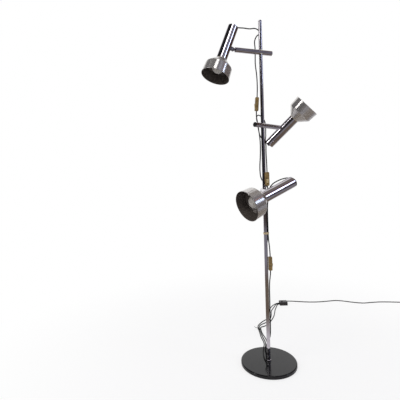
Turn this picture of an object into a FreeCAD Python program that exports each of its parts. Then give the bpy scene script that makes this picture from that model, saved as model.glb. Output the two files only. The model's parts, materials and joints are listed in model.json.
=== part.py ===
import FreeCAD, Part

import math
import os

# A tree floor lamp: a round weighted foot, a chromed pole in two lengths, and three spot heads.
# Each head hangs on a short cross arm that slides and turns on the pole. Millimetres, +Z up, +Y to
# the back. The origin is on the floor, under the pole, and +X is to the right seen from the front.

V = FreeCAD.Vector
UP = V(0, 0, 1)

# Foot
FOOT_DIA = 248.0
FOOT_THICK = 14.5
FOOT_EDGE_R = 4.5
FOOT_LOWER_R = 1.5
PAD_DIA = 236.0
PAD_THICK = 1.5
STUD_DIA = 10.0
RECESS_DIA = 34.0
RECESS_DEEP = 7.5
WASHER_DIA = 26.0
WASHER_THICK = 1.6
NUT_FLATS = 17.0
NUT_HIGH = 5.0

# Pole
POLE_DIA = 16.0
POLE_WALL = 1.2
POLE_TOP = 1550.0
POLE_JOINT = 1267.0
SWAGE_LONG = 30.0
SWAGE_WALL = 1.2
FOOT_PLUG_LONG = 20.0
TOP_PLUG_LONG = 12.0
TOP_CAP_THICK = 2.0
FOOT_RING_DIA = 21.0
FOOT_RING_HIGH = 5.0

# Cross arm, with the grip inside it
ARM_DIA = 22.0
ARM_WALL = 1.0
ARM_FREE = 55.0
ARM_REACH = 137.0
ARM_TO_PIVOT = 11.0
GLIDE_WALL = 0.8
GLIDE_HIGH = 19.0
BUTTON_TRAVEL = 5.0
BUTTON_PROUD = 1.0
PLUNGER_LONG = 24.0
SPRING_WIRE = 1.6
SPRING_DIA = 15.0
SPRING_LONG = 26.0
SPRING_TURNS = 5
SEAT_THICK = 4.0
NOSE_LONG = 20.0
NOSE_TIP = 2.5
NOSE_TIP_DIA = 12.0

# Knuckle between arm and head
STEM_DIA = 8.0
STEM_HEAD_DIA = 13.0
STEM_HEAD_THICK = 3.0
EYE_DIA = 14.0
EYE_THICK = 6.0
PIN_DIA = 4.0
PIN_HEAD_DIA = 7.0
PIN_HEAD_THICK = 1.8
EAR_THICK = 2.8
EAR_R = 6.5
SADDLE_HALF = 7.0
STUD_SMALL_DIA = 6.0
NUT_SMALL_FLATS = 9.0
NUT_SMALL_HIGH = 3.0

# Head
HEAD_OFFSET = 34.0
TUBE_DIA = 47.0
TUBE_WALL = 1.0
TUBE_BACK = 97.5
TUBE_FRONT = 73.0
BELL_WALL = 1.0
BELL_CONE = 35.0
BELL_SKIRT = 48.5
BELL_NECK_DIA = 50.0
BELL_SHOULDER_DIA = 118.0
BELL_RIM_DIA = 123.0
BELL_SHOULDER_R = 7.0
BELL_COLLAR = 11.0
BELL_LIP_DIA = 39.0
CAP_INSET = 1.0
CAP_THICK = 2.5
CAP_SKIRT = 9.0
CAP_WALL = 1.6
HUB_DIA = 15.0
HUB_HIGH = 7.5
HUB_BORE_UP = 4.0
NECK_RING_THICK = 1.5

# Lamp holder and bulb
HOLDER_DIA = 38.0
HOLDER_LONG = 46.0
HOLDER_WALL = 4.0
SHADE_RING_THICK = 4.0
HOLDER_SHOULDER = 4.0
SCREW_CAP_DIA = 26.0
SCREW_CAP_LONG = 25.0
BULB_DIA = 60.0
BULB_NECK_DIA = 27.0
BULB_LONG = 105.0
BULB_RECESS = 20.0
GLASS_WALL = 1.0

# Switch on each cord
SWITCH_LONG = 62.0
SWITCH_WIDE = 18.0
SWITCH_DEEP = 16.4
SWITCH_CORNER = 5.0
SWITCH_EDGE = 3.0
SWITCH_SEAM = 0.2
SWITCH_ENTRY = 7.0
ROCKER_LONG = 18.0
ROCKER_WIDE = 9.0
ROCKER_POCKET = 6.5
ROCKER_PROUD = 3.0
ROCKER_DOWN = 9.0
ROCKER_GAP = 0.5

# Cords and what is on them
CORD_DIA = 5.0
MAINS_DIA = 6.0
TIE_BAND = 9.0
TIE_THICK = 1.0
CABLE_TIE_WIDE = 3.6
CABLE_TIE_THICK = 1.2
TIE_LIFT = 4.2
BOX_AT = (235.0, 690.0)
BOX_LONG = 50.0
BOX_WIDE = 38.0
BOX_HIGH = 22.0
BOX_ENTRY = 7.0
BOX_ENTRY_UP = 7.0
ENTRY_RUN = 10.0
BOX_EDGE = 3.0
BOX_KNOB_DIA = 10.0
BOX_KNOB_HIGH = 4.0
PLUG_DIA = 36.0
PLUG_FACE = 19.0
PLUG_GRIP = 26.0
RELIEF_LONG = 24.0
PLUG_PIN_DIA = 4.8
PLUG_PIN_LONG = 19.0
PLUG_PIN_SPACE = 19.0
COIL_INNER_R = 23.1
COIL_STEP = 6.7
COIL_TURNS = 3
COIL_AT = (1075.0, 700.0)
PLUG_AT = (1146.0, 668.0)

SLACK = 0.05  # running clearance on the radius
SEAT_GAP = 0.3  # between faces that rest near each other on different pieces

# Where each lamp stands: azimuth of the arm, height of the arm, swivel of the head about the arm
# from straight down, tilt of the head away from the pole, the way its cord leaves the cap, and how
# far it runs that way from the tube's axis
LAMPS = {
    1: dict(azimuth=199.3, height=1405.5, swivel=6.1, tilt=23.7, outlet=(1.0, 0.0, 0.0), run=19.0),
    2: dict(azimuth=42.0, height=1076.0, swivel=-134.0, tilt=15.0, outlet=(-0.8, -0.5, 0.3), run=28.0),
    3: dict(azimuth=-91.2, height=781.1, swivel=-67.5, tilt=29.7, outlet=(0.45, 0.05, -0.85),
            run=19.0),
}
# Where each switch hangs, the azimuth that its rocker faces, and how far it leans out below
SWITCHES = {
    1: dict(at=(-24.0, 0.0, 1172.4), faces=180.0, lean=4.3),
    2: dict(at=(11.0, -15.7, 834.5), faces=-90.0, lean=0.0),
    3: dict(at=(17.5, -3.0, 453.3), faces=0.0, lean=0.0),
}

# Where the tie holds cords 1, 2 and 3
TIED = [V(9, 9, 590), V(11, 3, 590), V(11, -3.1, 590)]
PLUG_WAY = V(0.94, 0.34, 0).normalize()

FOOT_TOP = PAD_THICK + FOOT_THICK
POLE_R = POLE_DIA / 2
POLE_BORE = POLE_R - POLE_WALL
ARM_BORE = ARM_DIA / 2 - ARM_WALL
GLIDE_R = POLE_R + SLACK + GLIDE_WALL
TUBE_R = TUBE_DIA / 2
TUBE_BORE = TUBE_R - TUBE_WALL
RIM_AT = TUBE_FRONT + BELL_CONE + BELL_SKIRT


def rod(r, length, base=V(0, 0, 0), along=UP):
    return Part.makeCylinder(r, length, base, along)


def pipe(r, bore, length, base=V(0, 0, 0), along=UP):
    return rod(r, length, base, along).cut(rod(bore, length, base, along))


def box(low, high):
    low, high = V(*low), V(*high)
    size = high - low
    return Part.makeBox(size.x, size.y, size.z, low)


def hexagon(flats, high, base, along=UP):
    r = flats / 2 / math.cos(math.radians(30))
    corners = [V(r * math.cos(math.radians(60 * i)), r * math.sin(math.radians(60 * i)), 0)
               for i in range(7)]
    prism = Part.Face(Part.makePolygon(corners)).extrude(V(0, 0, high))
    prism.Placement = FreeCAD.Placement(base, FreeCAD.Rotation(UP, along))
    return prism


def turned(points, axis_x=0.0):
    """A solid of revolution about the line x = axis_x, y = 0. A point (r, z) is a corner, and
    (r, z, "via") is a point that an arc passes on its way to the next corner."""
    edges, last, via = [], None, None
    for p in list(points) + [points[0]]:
        here = V(p[0] + axis_x, 0, p[1])
        if len(p) == 3:
            via = here
            continue
        if last is not None and (here - last).Length > 1e-6:
            curve = Part.Arc(last, via, here) if via else Part.LineSegment(last, here)
            edges.append(curve.toShape())
        last, via = here, None
    return Part.Face(Part.Wire(edges)).revolve(V(axis_x, 0, 0), UP, 360)


def arc_mid(centre, r, start_deg, end_deg):
    """The middle of an arc in the profile plane, as turned() wants it."""
    a = math.radians((start_deg + end_deg) / 2)
    return (centre[0] + r * math.cos(a), centre[1] + r * math.sin(a), "via")


def frame(origin, x, z):
    """The placement whose X runs along x and Z along z."""
    x, z = V(x), V(z)
    x.normalize()
    z.normalize()
    y = z.cross(x)
    m = FreeCAD.Matrix(x.x, y.x, z.x, origin.x, x.y, y.y, z.y, origin.y, x.z, y.z, z.z, origin.z,
                       0, 0, 0, 1)
    return FreeCAD.Placement(m)


def placed(shape, placement):
    out = shape.copy()
    out.Placement = placement.multiply(out.Placement)
    return out


def write(name, *shapes):
    shape = shapes[0] if len(shapes) == 1 else Part.makeCompound(list(shapes))
    bad = [s for s in shape.Solids if not s.isValid() or s.Volume <= 0]
    if bad or not shape.Solids:
        raise RuntimeError(name + " isn't a valid solid")
    shape.exportStep(os.path.join("parts", name + ".step"))


# Cords

def run_wire(points, name):
    """Straight runs joined by tangent arcs, each as large as its two runs allow."""
    pts = [V(*p) for p in points]
    edges, at, radii = [], pts[0], []
    for a, b, c in zip(pts, pts[1:], pts[2:]):
        u, v = b - a, c - b
        cut = 0.45 * min(u.Length, v.Length)
        u.normalize()
        v.normalize()
        half = u.getAngle(v) / 2
        r = cut / math.tan(half)
        radii.append(r)
        inward = v - u
        inward.normalize()
        middle = b + inward * (r / math.cos(half) - r)
        edges.append(Part.LineSegment(at, b - u * cut).toShape())
        at = b + v * cut
        edges.append(Part.Arc(b - u * cut, middle, at).toShape())
    edges.append(Part.LineSegment(at, pts[-1]).toShape())
    print("%s: %d points, least radius %.1f" % (name, len(pts), min(radii)))
    return Part.Wire(edges)


def sweep(wire, dia, name):
    start = wire.Edges[0]
    at = start.valueAt(start.FirstParameter)
    along = start.tangentAt(start.FirstParameter)
    ring = Part.Wire([Part.Circle(at, along, dia / 2).toShape()])
    solid = wire.makePipeShell([ring], True, False)
    share = solid.Volume / (math.pi * dia * dia / 4 * wire.Length)
    print("%s: %.0f mm long, volume %.4f of its section times its length" % (name, wire.Length, share))
    return solid


def cord(points, dia, name):
    return sweep(run_wire(points, name), dia, name)


def arc_from(p, t, q):
    """The arc from p, leaving along t, to q."""
    chord = q - p
    n = chord - t * chord.dot(t)
    if n.Length < 1e-9:
        return Part.LineSegment(p, q)
    n.normalize()
    r = chord.Length ** 2 / (2 * chord.dot(n))
    centre = p + n * r
    out = (p - centre) + (q - centre)
    out.normalize()
    return Part.Arc(p, centre + out * r, q)


def biarcs(path, count):
    """Two tangent arcs for each of count equal steps of path, which gives a place and a heading."""
    edges = []
    stops = [path(i / count) for i in range(count + 1)]
    for (p, t), (q, s) in zip(stops, stops[1:]):
        v, both = q - p, t + s
        slope = 2 * (1 - t.dot(s))
        d = (-v.dot(both) + math.sqrt(v.dot(both) ** 2 + slope * v.dot(v))) / slope
        middle = (p + q + (t - s) * d) * 0.5
        edges.append(arc_from(p, t, middle).toShape())
        back = arc_from(q, s * -1, middle).toShape()
        back.reverse()
        edges.append(back)
    return edges


def along(place):
    """place(t) with its heading, found from a short step."""
    def at(t):
        step = 1e-5
        heading = V(*place(t + step)) - V(*place(t - step))
        heading.normalize()
        return V(*place(t)), heading
    return at


def least_gap(place, turns, dia, name):
    """The least gap between one turn and the next, on points along the path."""
    n = 90 * turns
    pts = [V(*place(i / n)) for i in range(n + 1)]
    gap = min((pts[i] - pts[j]).Length for i in range(n + 1) for j in range(i + 60, n + 1)) - dia
    print("%s: least gap between its turns %.2f" % (name, gap))


# Foot and pole

def foot():
    r, e, f = FOOT_DIA / 2, FOOT_EDGE_R, FOOT_LOWER_R
    low, top = PAD_THICK, FOOT_TOP
    recess, ceiling = RECESS_DIA / 2, PAD_THICK + RECESS_DEEP
    hole = STUD_DIA / 2 + 0.2
    disc = turned([
        (recess, low), (r - f, low), arc_mid((r - f, low + f), f, -90, 0), (r, low + f),
        (r, top - e), arc_mid((r - e, top - e), e, 0, 90), (r - e, top),
        (hole, top), (hole, ceiling), (recess, ceiling),
    ])
    write("base_disc", disc)
    write("base_pad", rod(PAD_DIA / 2, PAD_THICK))

    stud_r = STUD_DIA / 2
    nut_low = ceiling - WASHER_THICK - NUT_HIGH
    stud = rod(stud_r, FOOT_TOP + FOOT_PLUG_LONG - nut_low, V(0, 0, nut_low))
    washer = pipe(WASHER_DIA / 2, stud_r + SLACK, WASHER_THICK, V(0, 0, ceiling - WASHER_THICK))
    nut = hexagon(NUT_FLATS, NUT_HIGH, V(0, 0, nut_low)).cut(
        rod(stud_r + SLACK, NUT_HIGH, V(0, 0, nut_low)))
    plug = pipe(POLE_BORE - SLACK, stud_r + SLACK, FOOT_PLUG_LONG, V(0, 0, FOOT_TOP))
    write("base_fixings", stud, washer, nut, plug)


def pole():
    swage = POLE_BORE - SLACK
    swage_bore = swage - SWAGE_WALL
    throat = POLE_JOINT - 3 * POLE_WALL
    lower = turned([
        (POLE_BORE, FOOT_TOP), (POLE_R, FOOT_TOP), (POLE_R, POLE_JOINT), (swage, POLE_JOINT),
        (swage, POLE_JOINT + SWAGE_LONG), (swage_bore, POLE_JOINT + SWAGE_LONG),
        (swage_bore, POLE_JOINT), (POLE_BORE, throat),
    ])
    write("pole_lower", lower)
    cap_at = POLE_TOP - TOP_CAP_THICK
    write("pole_upper", pipe(POLE_R, POLE_BORE, cap_at - POLE_JOINT, V(0, 0, POLE_JOINT)))
    e = TOP_CAP_THICK * 0.6
    cap = turned([
        (0, cap_at - TOP_PLUG_LONG), (POLE_BORE - SLACK, cap_at - TOP_PLUG_LONG),
        (POLE_BORE - SLACK, cap_at), (POLE_R, cap_at), (POLE_R, POLE_TOP - e),
        arc_mid((POLE_R - e, POLE_TOP - e), e, 0, 90), (POLE_R - e, POLE_TOP), (0, POLE_TOP),
    ])
    ring_r, ring_top = FOOT_RING_DIA / 2, FOOT_TOP + FOOT_RING_HIGH
    b = (ring_r - POLE_R) * 0.6
    ring = turned([
        (POLE_R + SLACK, FOOT_TOP), (ring_r, FOOT_TOP), (ring_r, ring_top - b),
        arc_mid((ring_r - b, ring_top - b), b, 0, 90), (ring_r - b, ring_top),
        (POLE_R + SLACK, ring_top),
    ])
    write("pole_trims", cap, ring)


# Arm: X runs from the pole to the head, Z up, origin on the pole's axis

def glide():
    return pipe(GLIDE_R, POLE_R + SLACK, GLIDE_HIGH, V(0, 0, -GLIDE_HIGH / 2))


def arm_tube():
    x0, x1 = -ARM_FREE, ARM_REACH - ARM_TO_PIVOT
    tube = pipe(ARM_DIA / 2, ARM_BORE, x1 - x0, V(x0, 0, 0), V(1, 0, 0))
    return tube.cut(rod(GLIDE_R + SLACK, ARM_DIA, V(0, 0, -ARM_DIA / 2)))


def plunger_end():
    return GLIDE_R + SLACK + PLUNGER_LONG


def button():
    """The push button and its plunger, one piece, slotted where the pole passes."""
    r = ARM_BORE - SLACK
    x0 = -ARM_FREE - BUTTON_PROUD
    body = rod(r, plunger_end() - x0, V(x0, 0, 0), V(1, 0, 0))
    body = body.makeFillet(BUTTON_PROUD * 0.8, [e for e in body.Edges
                           if abs(e.CenterOfMass.x - x0) < 0.01])
    half, back = GLIDE_R + SLACK, BUTTON_TRAVEL + SEAT_GAP
    slot = rod(half, ARM_DIA, V(0, 0, -ARM_DIA / 2))
    slot = slot.fuse(rod(half, ARM_DIA, V(-back, 0, -ARM_DIA / 2)))
    slot = slot.fuse(box((-back, -half, -ARM_DIA / 2), (0, half, ARM_DIA / 2)))
    return body.cut(slot)


def spring():
    """The spring that pushes the plunger's slot against the pole."""
    x0 = plunger_end() + SPRING_WIRE / 2 + SLACK
    long = SPRING_LONG - SPRING_WIRE - 2 * SLACK
    r = (SPRING_DIA - SPRING_WIRE) / 2

    def place(t):
        a = 2 * math.pi * SPRING_TURNS * t
        return (x0 + long * t, r * math.cos(a), r * math.sin(a))
    wire = Part.Wire(biarcs(along(place), 4 * SPRING_TURNS))
    return sweep(wire, SPRING_WIRE, "spring")


def arm_fittings():
    """The spring's seat, and the nose that carries the knuckle's stem."""
    seat_at = plunger_end() + SPRING_LONG
    x1 = ARM_REACH - ARM_TO_PIVOT
    seat = pipe(ARM_BORE - SLACK, STEM_DIA / 2, SEAT_THICK, V(seat_at, 0, 0), V(1, 0, 0))
    r, tip = ARM_BORE - SLACK, NOSE_TIP_DIA / 2
    bore = STEM_DIA / 2 + SLACK
    nose = turned([
        (bore, x1 - NOSE_LONG), (r, x1 - NOSE_LONG), (r, x1), (ARM_DIA / 2, x1),
        (ARM_DIA / 2, x1 + 0.5), (tip, x1 + NOSE_TIP), (bore, x1 + NOSE_TIP),
    ])
    nose.Placement = frame(V(0, 0, 0), V(0, 0, -1), V(1, 0, 0))
    return seat, nose


# Knuckle: X along the arm, Y along the tilt pin, Z along the head at no tilt, origin on the pin

def knuckle():
    nose_back = -ARM_TO_PIVOT - NOSE_LONG
    stem = rod(STEM_DIA / 2, -nose_back + SLACK, V(nose_back - SLACK, 0, 0), V(1, 0, 0))
    head = rod(STEM_HEAD_DIA / 2, STEM_HEAD_THICK,
               V(nose_back - SLACK - STEM_HEAD_THICK, 0, 0), V(1, 0, 0))
    eye = Part.makeSphere(EYE_DIA / 2)
    body = stem.fuse([head, eye])
    r, t = EYE_DIA / 2, EYE_THICK / 2
    for side in (-1, 1):
        body = body.cut(box((-r, min(side * t, side * r), -r), (r, max(side * t, side * r), r)))
    hole = rod(PIN_DIA / 2 + SLACK, 2 * r, V(0, -r, 0), V(0, 1, 0))
    return body.cut(hole).removeSplitter()


# Head: X from the pin to the tube's axis and beyond, Y along the pin, Z towards the bell

def bracket():
    """The saddle with its two ears, the pin, its nut, and the nut inside the tube."""
    inner = EYE_THICK / 2 + SLACK
    outer = inner + EAR_THICK
    face = EYE_DIA / 2 + SEAT_GAP
    saddle = box((face, -outer, -SADDLE_HALF), (HEAD_OFFSET - TUBE_R + 3, outer, SADDLE_HALF))
    body = saddle
    for side in (-1, 1):
        low = min(side * inner, side * outer)
        ear = rod(EAR_R, EAR_THICK, V(0, low, 0), V(0, 1, 0))
        ear = ear.fuse(box((0, low, -EAR_R), (face, low + EAR_THICK, EAR_R)))
        body = body.fuse(ear)
    wall = rod(TUBE_R, 4 * SADDLE_HALF, V(HEAD_OFFSET, 0, -2 * SADDLE_HALF))
    stud_long = TUBE_WALL + NUT_SMALL_HIGH + 3
    body = body.cut(wall).fuse(
        rod(STUD_SMALL_DIA / 2, stud_long + 2, V(HEAD_OFFSET - TUBE_R - 2, 0, 0), V(1, 0, 0)))
    body = body.cut(rod(PIN_DIA / 2 + SLACK, 4 * outer, V(0, -2 * outer, 0), V(0, 1, 0)))
    body = body.removeSplitter()

    pin = rod(PIN_DIA / 2, 2 * outer + 2 * SLACK + 3, V(0, -outer - SLACK, 0), V(0, 1, 0))
    pin = pin.fuse(rod(PIN_HEAD_DIA / 2, PIN_HEAD_THICK,
                       V(0, -outer - SLACK - PIN_HEAD_THICK, 0), V(0, 1, 0)))
    nut = hexagon(PIN_HEAD_DIA, PIN_HEAD_THICK + 0.4, V(0, outer + SLACK, 0), V(0, 1, 0)).cut(
        rod(PIN_DIA / 2 + SLACK, 8, V(0, outer - 1, 0), V(0, 1, 0)))

    corner = NUT_SMALL_FLATS / 2 / math.cos(math.radians(30))
    nut_at = HEAD_OFFSET - math.sqrt(TUBE_BORE ** 2 - corner ** 2) + SLACK
    inner_nut = hexagon(NUT_SMALL_FLATS, NUT_SMALL_HIGH, V(nut_at, 0, 0), V(1, 0, 0)).cut(
        rod(STUD_SMALL_DIA / 2 + SLACK, 12, V(nut_at - 4, 0, 0), V(1, 0, 0)))
    return body, pin, nut, inner_nut


def head_tube():
    tube = pipe(TUBE_R, TUBE_BORE, TUBE_BACK + TUBE_FRONT - NECK_RING_THICK,
                V(HEAD_OFFSET, 0, -TUBE_BACK))
    return tube.cut(rod(STUD_SMALL_DIA / 2 + SLACK, 8, V(HEAD_OFFSET - TUBE_R - 4, 0, 0),
                        V(1, 0, 0)))


def bell():
    """The spun reflector: a collar that plugs into the tube, with a lip that the holder's ring
    clamps, a cone, a rounded shoulder and a slightly flared skirt with a beaded rim."""
    t = BELL_WALL
    collar, lip = TUBE_BORE - SLACK, BELL_LIP_DIA / 2
    neck, z0 = BELL_NECK_DIA / 2, TUBE_FRONT
    back = z0 - BELL_COLLAR
    sh_r, sh_z = BELL_SHOULDER_DIA / 2, z0 + BELL_CONE
    rim_r, rim_z = BELL_RIM_DIA / 2, RIM_AT
    slope = math.atan2(sh_r - neck, BELL_CONE)
    bend = BELL_SHOULDER_R * math.tan(slope / 2)
    cone_end = (sh_r - bend * math.sin(slope), sh_z - bend * math.cos(slope))
    skirt_start = (sh_r, sh_z + bend)
    outer = (sh_r - BELL_SHOULDER_R, sh_z + bend)
    a = -slope / 2
    steer = (outer[0] + BELL_SHOULDER_R * math.cos(a), outer[1] + BELL_SHOULDER_R * math.sin(a))
    r2 = BELL_SHOULDER_R - t
    cone_in = (cone_end[0] - t * math.cos(slope), cone_end[1] + t * math.sin(slope))
    steer_in = (outer[0] + r2 * math.cos(a), outer[1] + r2 * math.sin(a))
    neck_in = (collar - t, z0 + t * math.tan(math.pi / 4 - slope / 4))
    bead = t * 0.9
    shell = turned([
        (lip, back), (collar, back), (collar, z0), (neck, z0),
        cone_end, (steer[0], steer[1], "via"), skirt_start,
        (rim_r, rim_z - 2 * bead), (rim_r + bead, rim_z - bead, "via"), (rim_r, rim_z),
        (rim_r - t, rim_z), (sh_r - t, skirt_start[1]),
        (steer_in[0], steer_in[1], "via"), cone_in,
        neck_in, (collar - t, back + t), (lip, back + t),
    ], HEAD_OFFSET)
    return shell


def rear_cap(outlet):
    """The push-in cap with a low hub, and the hub's bore, which lets the cord out sideways."""
    r, z0 = TUBE_BORE - SLACK, -TUBE_BACK + CAP_INSET
    cap = turned([
        (0, z0), (0, z0 + CAP_THICK), (r - CAP_WALL, z0 + CAP_THICK),
        (r - CAP_WALL, z0 + CAP_SKIRT), (r, z0 + CAP_SKIRT), (r, z0),
    ], HEAD_OFFSET)
    hub_r, e = HUB_DIA / 2, 2.0
    top = -TUBE_BACK - HUB_HIGH
    hub = turned([
        (0, z0 + 0.5), (hub_r, z0 + 0.5), (hub_r, top + e),
        arc_mid((hub_r - e, top + e), e, 0, -90), (hub_r - e, top), (0, top),
    ], HEAD_OFFSET)
    at = V(HEAD_OFFSET, 0, -TUBE_BACK - HUB_BORE_UP)
    bore = CORD_DIA / 2 + SLACK
    body = cap.fuse(hub).cut(rod(bore, 40, at, outlet))
    return body.cut(rod(bore, HUB_BORE_UP + CAP_INSET + CAP_THICK + 1, at)).removeSplitter()


def holder():
    """The lamp holder, the ring that clamps the bell's lip to it, the ring at the neck, and the
    lead inside the tube, from the cap's hub to the holder."""
    r, wall = HOLDER_DIA / 2, HOLDER_WALL
    lip_back = TUBE_FRONT - BELL_COLLAR
    front = lip_back + BELL_WALL + SHADE_RING_THICK
    back = front - HOLDER_LONG
    shoulder = TUBE_BORE - 1.5
    bore = SCREW_CAP_DIA / 2 + 0.6
    floor = RIM_AT - BULB_RECESS - BULB_LONG - SEAT_GAP
    body = turned([
        (0, back), (r - 7, back), (r, back + 9), (r, lip_back - HOLDER_SHOULDER),
        (shoulder, lip_back - HOLDER_SHOULDER), (shoulder, lip_back), (r, lip_back),
        (r, front), (r - wall + 0.5, front), (bore, front - 3), (bore, floor), (0, floor),
    ], HEAD_OFFSET)
    clamp_at = lip_back + BELL_WALL
    clamp = pipe(TUBE_BORE - BELL_WALL - 0.6, r + SLACK, SHADE_RING_THICK,
                 V(HEAD_OFFSET, 0, clamp_at))
    neck = pipe(TUBE_R + 0.6, TUBE_BORE, NECK_RING_THICK,
                V(HEAD_OFFSET, 0, TUBE_FRONT - NECK_RING_THICK))
    lead_at = -TUBE_BACK - HUB_BORE_UP
    lead = rod(CORD_DIA / 2, back - lead_at, V(HEAD_OFFSET, 0, lead_at))
    return body, clamp, neck, lead


def bulb():
    """The frosted glass of the bulb and, apart from it, its screw cap."""
    big, neck = BULB_DIA / 2, BULB_NECK_DIA / 2
    tip = RIM_AT - BULB_RECESS
    centre = tip - big
    cap_back = tip - BULB_LONG
    glass_back = cap_back + SCREW_CAP_LONG
    wall, turn = GLASS_WALL, 38
    flare = glass_back + 9

    def side(less):
        """The profile of one face of the glass, from neck to tip, less inside the outer one."""
        r = big - less
        leave = (r * math.cos(math.radians(turn)), centre - r * math.sin(math.radians(turn)))
        bow = ((leave[0] + neck - less) / 2 - 2.2, (leave[1] + flare) / 2 + 1.2, "via")
        half = arc_mid((0, centre), r, 90, -turn)
        return [(neck - less, flare), bow, leave, half, (0, centre + r)]
    outer, inner = side(0), side(wall)
    foot_r = SCREW_CAP_DIA / 2 - 0.5
    glass = turned([(foot_r, glass_back)] + outer + inner[::-1] + [(foot_r - wall, glass_back)],
                   HEAD_OFFSET)
    r = SCREW_CAP_DIA / 2
    cap = turned([
        (0, cap_back), (5, cap_back), (7.5, cap_back + 3), (r - 1, cap_back + 5),
        (r, cap_back + 6.5), (r, glass_back - 1), (r - 0.5, glass_back),
        (r - 1.5, glass_back), (r - 1.5, cap_back + 8), (0, cap_back + 4),
    ], HEAD_OFFSET)
    return glass, cap


# Switch: Z along the cord, X away from the pole, origin in its middle

def switch():
    """The two shells of a cord switch, with its pocket for the rocker, and the rocker."""
    half, wide, deep = SWITCH_LONG / 2, SWITCH_WIDE / 2, SWITCH_DEEP / 2
    outline = box((-deep, -wide, -half), (deep, wide, half))
    sides = [e for e in outline.Edges if abs(e.Vertexes[0].X - e.Vertexes[1].X) > deep]
    body = outline.makeFillet(SWITCH_CORNER, sides)
    rims = [e for e in body.Edges if e.BoundBox.XLength < 1e-6]
    body = body.makeFillet(SWITCH_EDGE, rims)
    deep_in = SWITCH_ENTRY + 1
    entry = rod(CORD_DIA / 2 + SLACK, deep_in, V(0, 0, half - SWITCH_ENTRY)).fuse(
        rod(CORD_DIA / 2 + SLACK, deep_in, V(0, 0, -half - 1)))
    body = body.cut(entry)
    gap = ROCKER_GAP
    pocket = box((deep - ROCKER_POCKET, -ROCKER_WIDE / 2 - gap,
                  -ROCKER_DOWN - ROCKER_LONG / 2 - 2 * gap),
                 (deep + 5, ROCKER_WIDE / 2 + gap, -ROCKER_DOWN + ROCKER_LONG / 2 + 2 * gap))
    body = body.cut(pocket)
    seam = SWITCH_SEAM / 2
    front = body.common(box((seam, -wide, -half), (deep, wide, half)))
    back = body.common(box((-deep, -wide, -half), (-seam, wide, half)))

    # The rocker is a shallow wedge on a barrel, standing with its lower end pressed in.
    pivot = rocker_pivot()
    long, proud = ROCKER_LONG / 2, ROCKER_PROUD
    w = ROCKER_WIDE / 2
    tip_in = deep + 0.4
    corners = [V(tip_in, -w, -ROCKER_DOWN - long), V(deep + proud, -w, -ROCKER_DOWN + long),
               V(deep - 1.2, -w, -ROCKER_DOWN + long), V(deep - 3.4, -w, -ROCKER_DOWN + 2),
               V(deep - 3.4, -w, -ROCKER_DOWN - 2), V(deep - 3.0, -w, -ROCKER_DOWN - long)]
    wedge = Part.Face(Part.makePolygon(corners + corners[:1])).extrude(V(0, 2 * w, 0))
    wedge = wedge.fuse(rod(2.2, 2 * w, V(pivot.x, -w, pivot.z), V(0, 1, 0))).removeSplitter()
    return front, back, wedge


def rocker_pivot():
    return V(SWITCH_DEEP / 2 - ROCKER_POCKET + 2.4, 0, -ROCKER_DOWN)


def switch_place(s):
    a, lean = math.radians(s["faces"]), math.radians(s["lean"])
    out = V(math.cos(a), math.sin(a), 0)
    up = UP * math.cos(lean) - out * math.sin(lean)
    return frame(V(*s["at"]), out * math.cos(lean) + UP * math.sin(lean), up)


def switch_end(number, way, beyond):
    """A point on the cord's line, beyond the switch's top (way 1) or bottom (way -1)."""
    place = switch_place(SWITCHES[number])
    return tuple(place.multVec(V(0, 0, way * (SWITCH_LONG / 2 + beyond))))


# Placements of a lamp

def arm_place(lamp):
    a = math.radians(lamp["azimuth"])
    return frame(V(0, 0, lamp["height"]), V(math.cos(a), math.sin(a), 0), UP)


def pivot_of(lamp):
    return arm_place(lamp).multVec(V(ARM_REACH, 0, 0))


def knuckle_place(lamp):
    a, s = math.radians(lamp["azimuth"]), math.radians(lamp["swivel"])
    out = V(math.cos(a), math.sin(a), 0)
    side = V(-out.y, out.x, 0)
    return frame(pivot_of(lamp), out, UP * -math.cos(s) + side * math.sin(s))


def head_place(lamp):
    base = knuckle_place(lamp)
    tilt = FreeCAD.Placement(V(0, 0, 0), FreeCAD.Rotation(V(0, 1, 0), lamp["tilt"]))
    return base.multiply(tilt)


def outlet_in_head(lamp):
    """The way that the cord leaves the cap, in the head's own axes and square to the tube."""
    way = head_place(lamp).Rotation.inverted().multVec(V(*lamp["outlet"]))
    way.z = 0
    way.normalize()
    return way


def lamp(number):
    place = LAMPS[number]
    arm, kn, head = arm_place(place), knuckle_place(place), head_place(place)
    n = "_%d" % number
    write("glide" + n, placed(glide(), arm))
    write("arm_tube" + n, placed(arm_tube(), arm))
    write("arm_fittings" + n, *[placed(s, arm) for s in arm_fittings()])
    write("grip_button" + n, placed(button(), arm))
    write("grip_spring" + n, placed(spring(), arm))
    write("knuckle" + n, placed(knuckle(), kn))
    write("head_bracket" + n, *[placed(s, head) for s in bracket()])
    write("head_tube" + n, placed(head_tube(), head))
    write("head_bell" + n, placed(bell(), head))
    write("head_cap" + n, placed(rear_cap(outlet_in_head(place)), head))
    write("lamp_holder" + n, *[placed(s, head) for s in holder()])
    glass, cap = bulb()
    write("bulb_glass" + n, placed(glass, head))
    write("bulb_cap" + n, placed(cap, head))


def cord_outlet(number, out):
    """A point on the line of the cap's side bore, out from the tube's axis."""
    head = head_place(LAMPS[number])
    at = head.multVec(V(HEAD_OFFSET, 0, -TUBE_BACK - HUB_BORE_UP))
    return tuple(at + head.Rotation.multVec(outlet_in_head(LAMPS[number])) * out)


def switches():
    shells = []
    for number, s in SWITCHES.items():
        front, back, rocker = switch()
        place = switch_place(s)
        shells += [placed(front, place), placed(back, place)]
        write("switch_rocker_%d" % number, placed(rocker, place))
    write("switch_shells", *shells)


# Cords: hand-chosen points, in runs that start and end in a cap, a switch, the tie or the box

def start_of(number):
    return [cord_outlet(number, CORD_DIA / 2 + SEAT_GAP), cord_outlet(number, LAMPS[number]["run"])]


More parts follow.
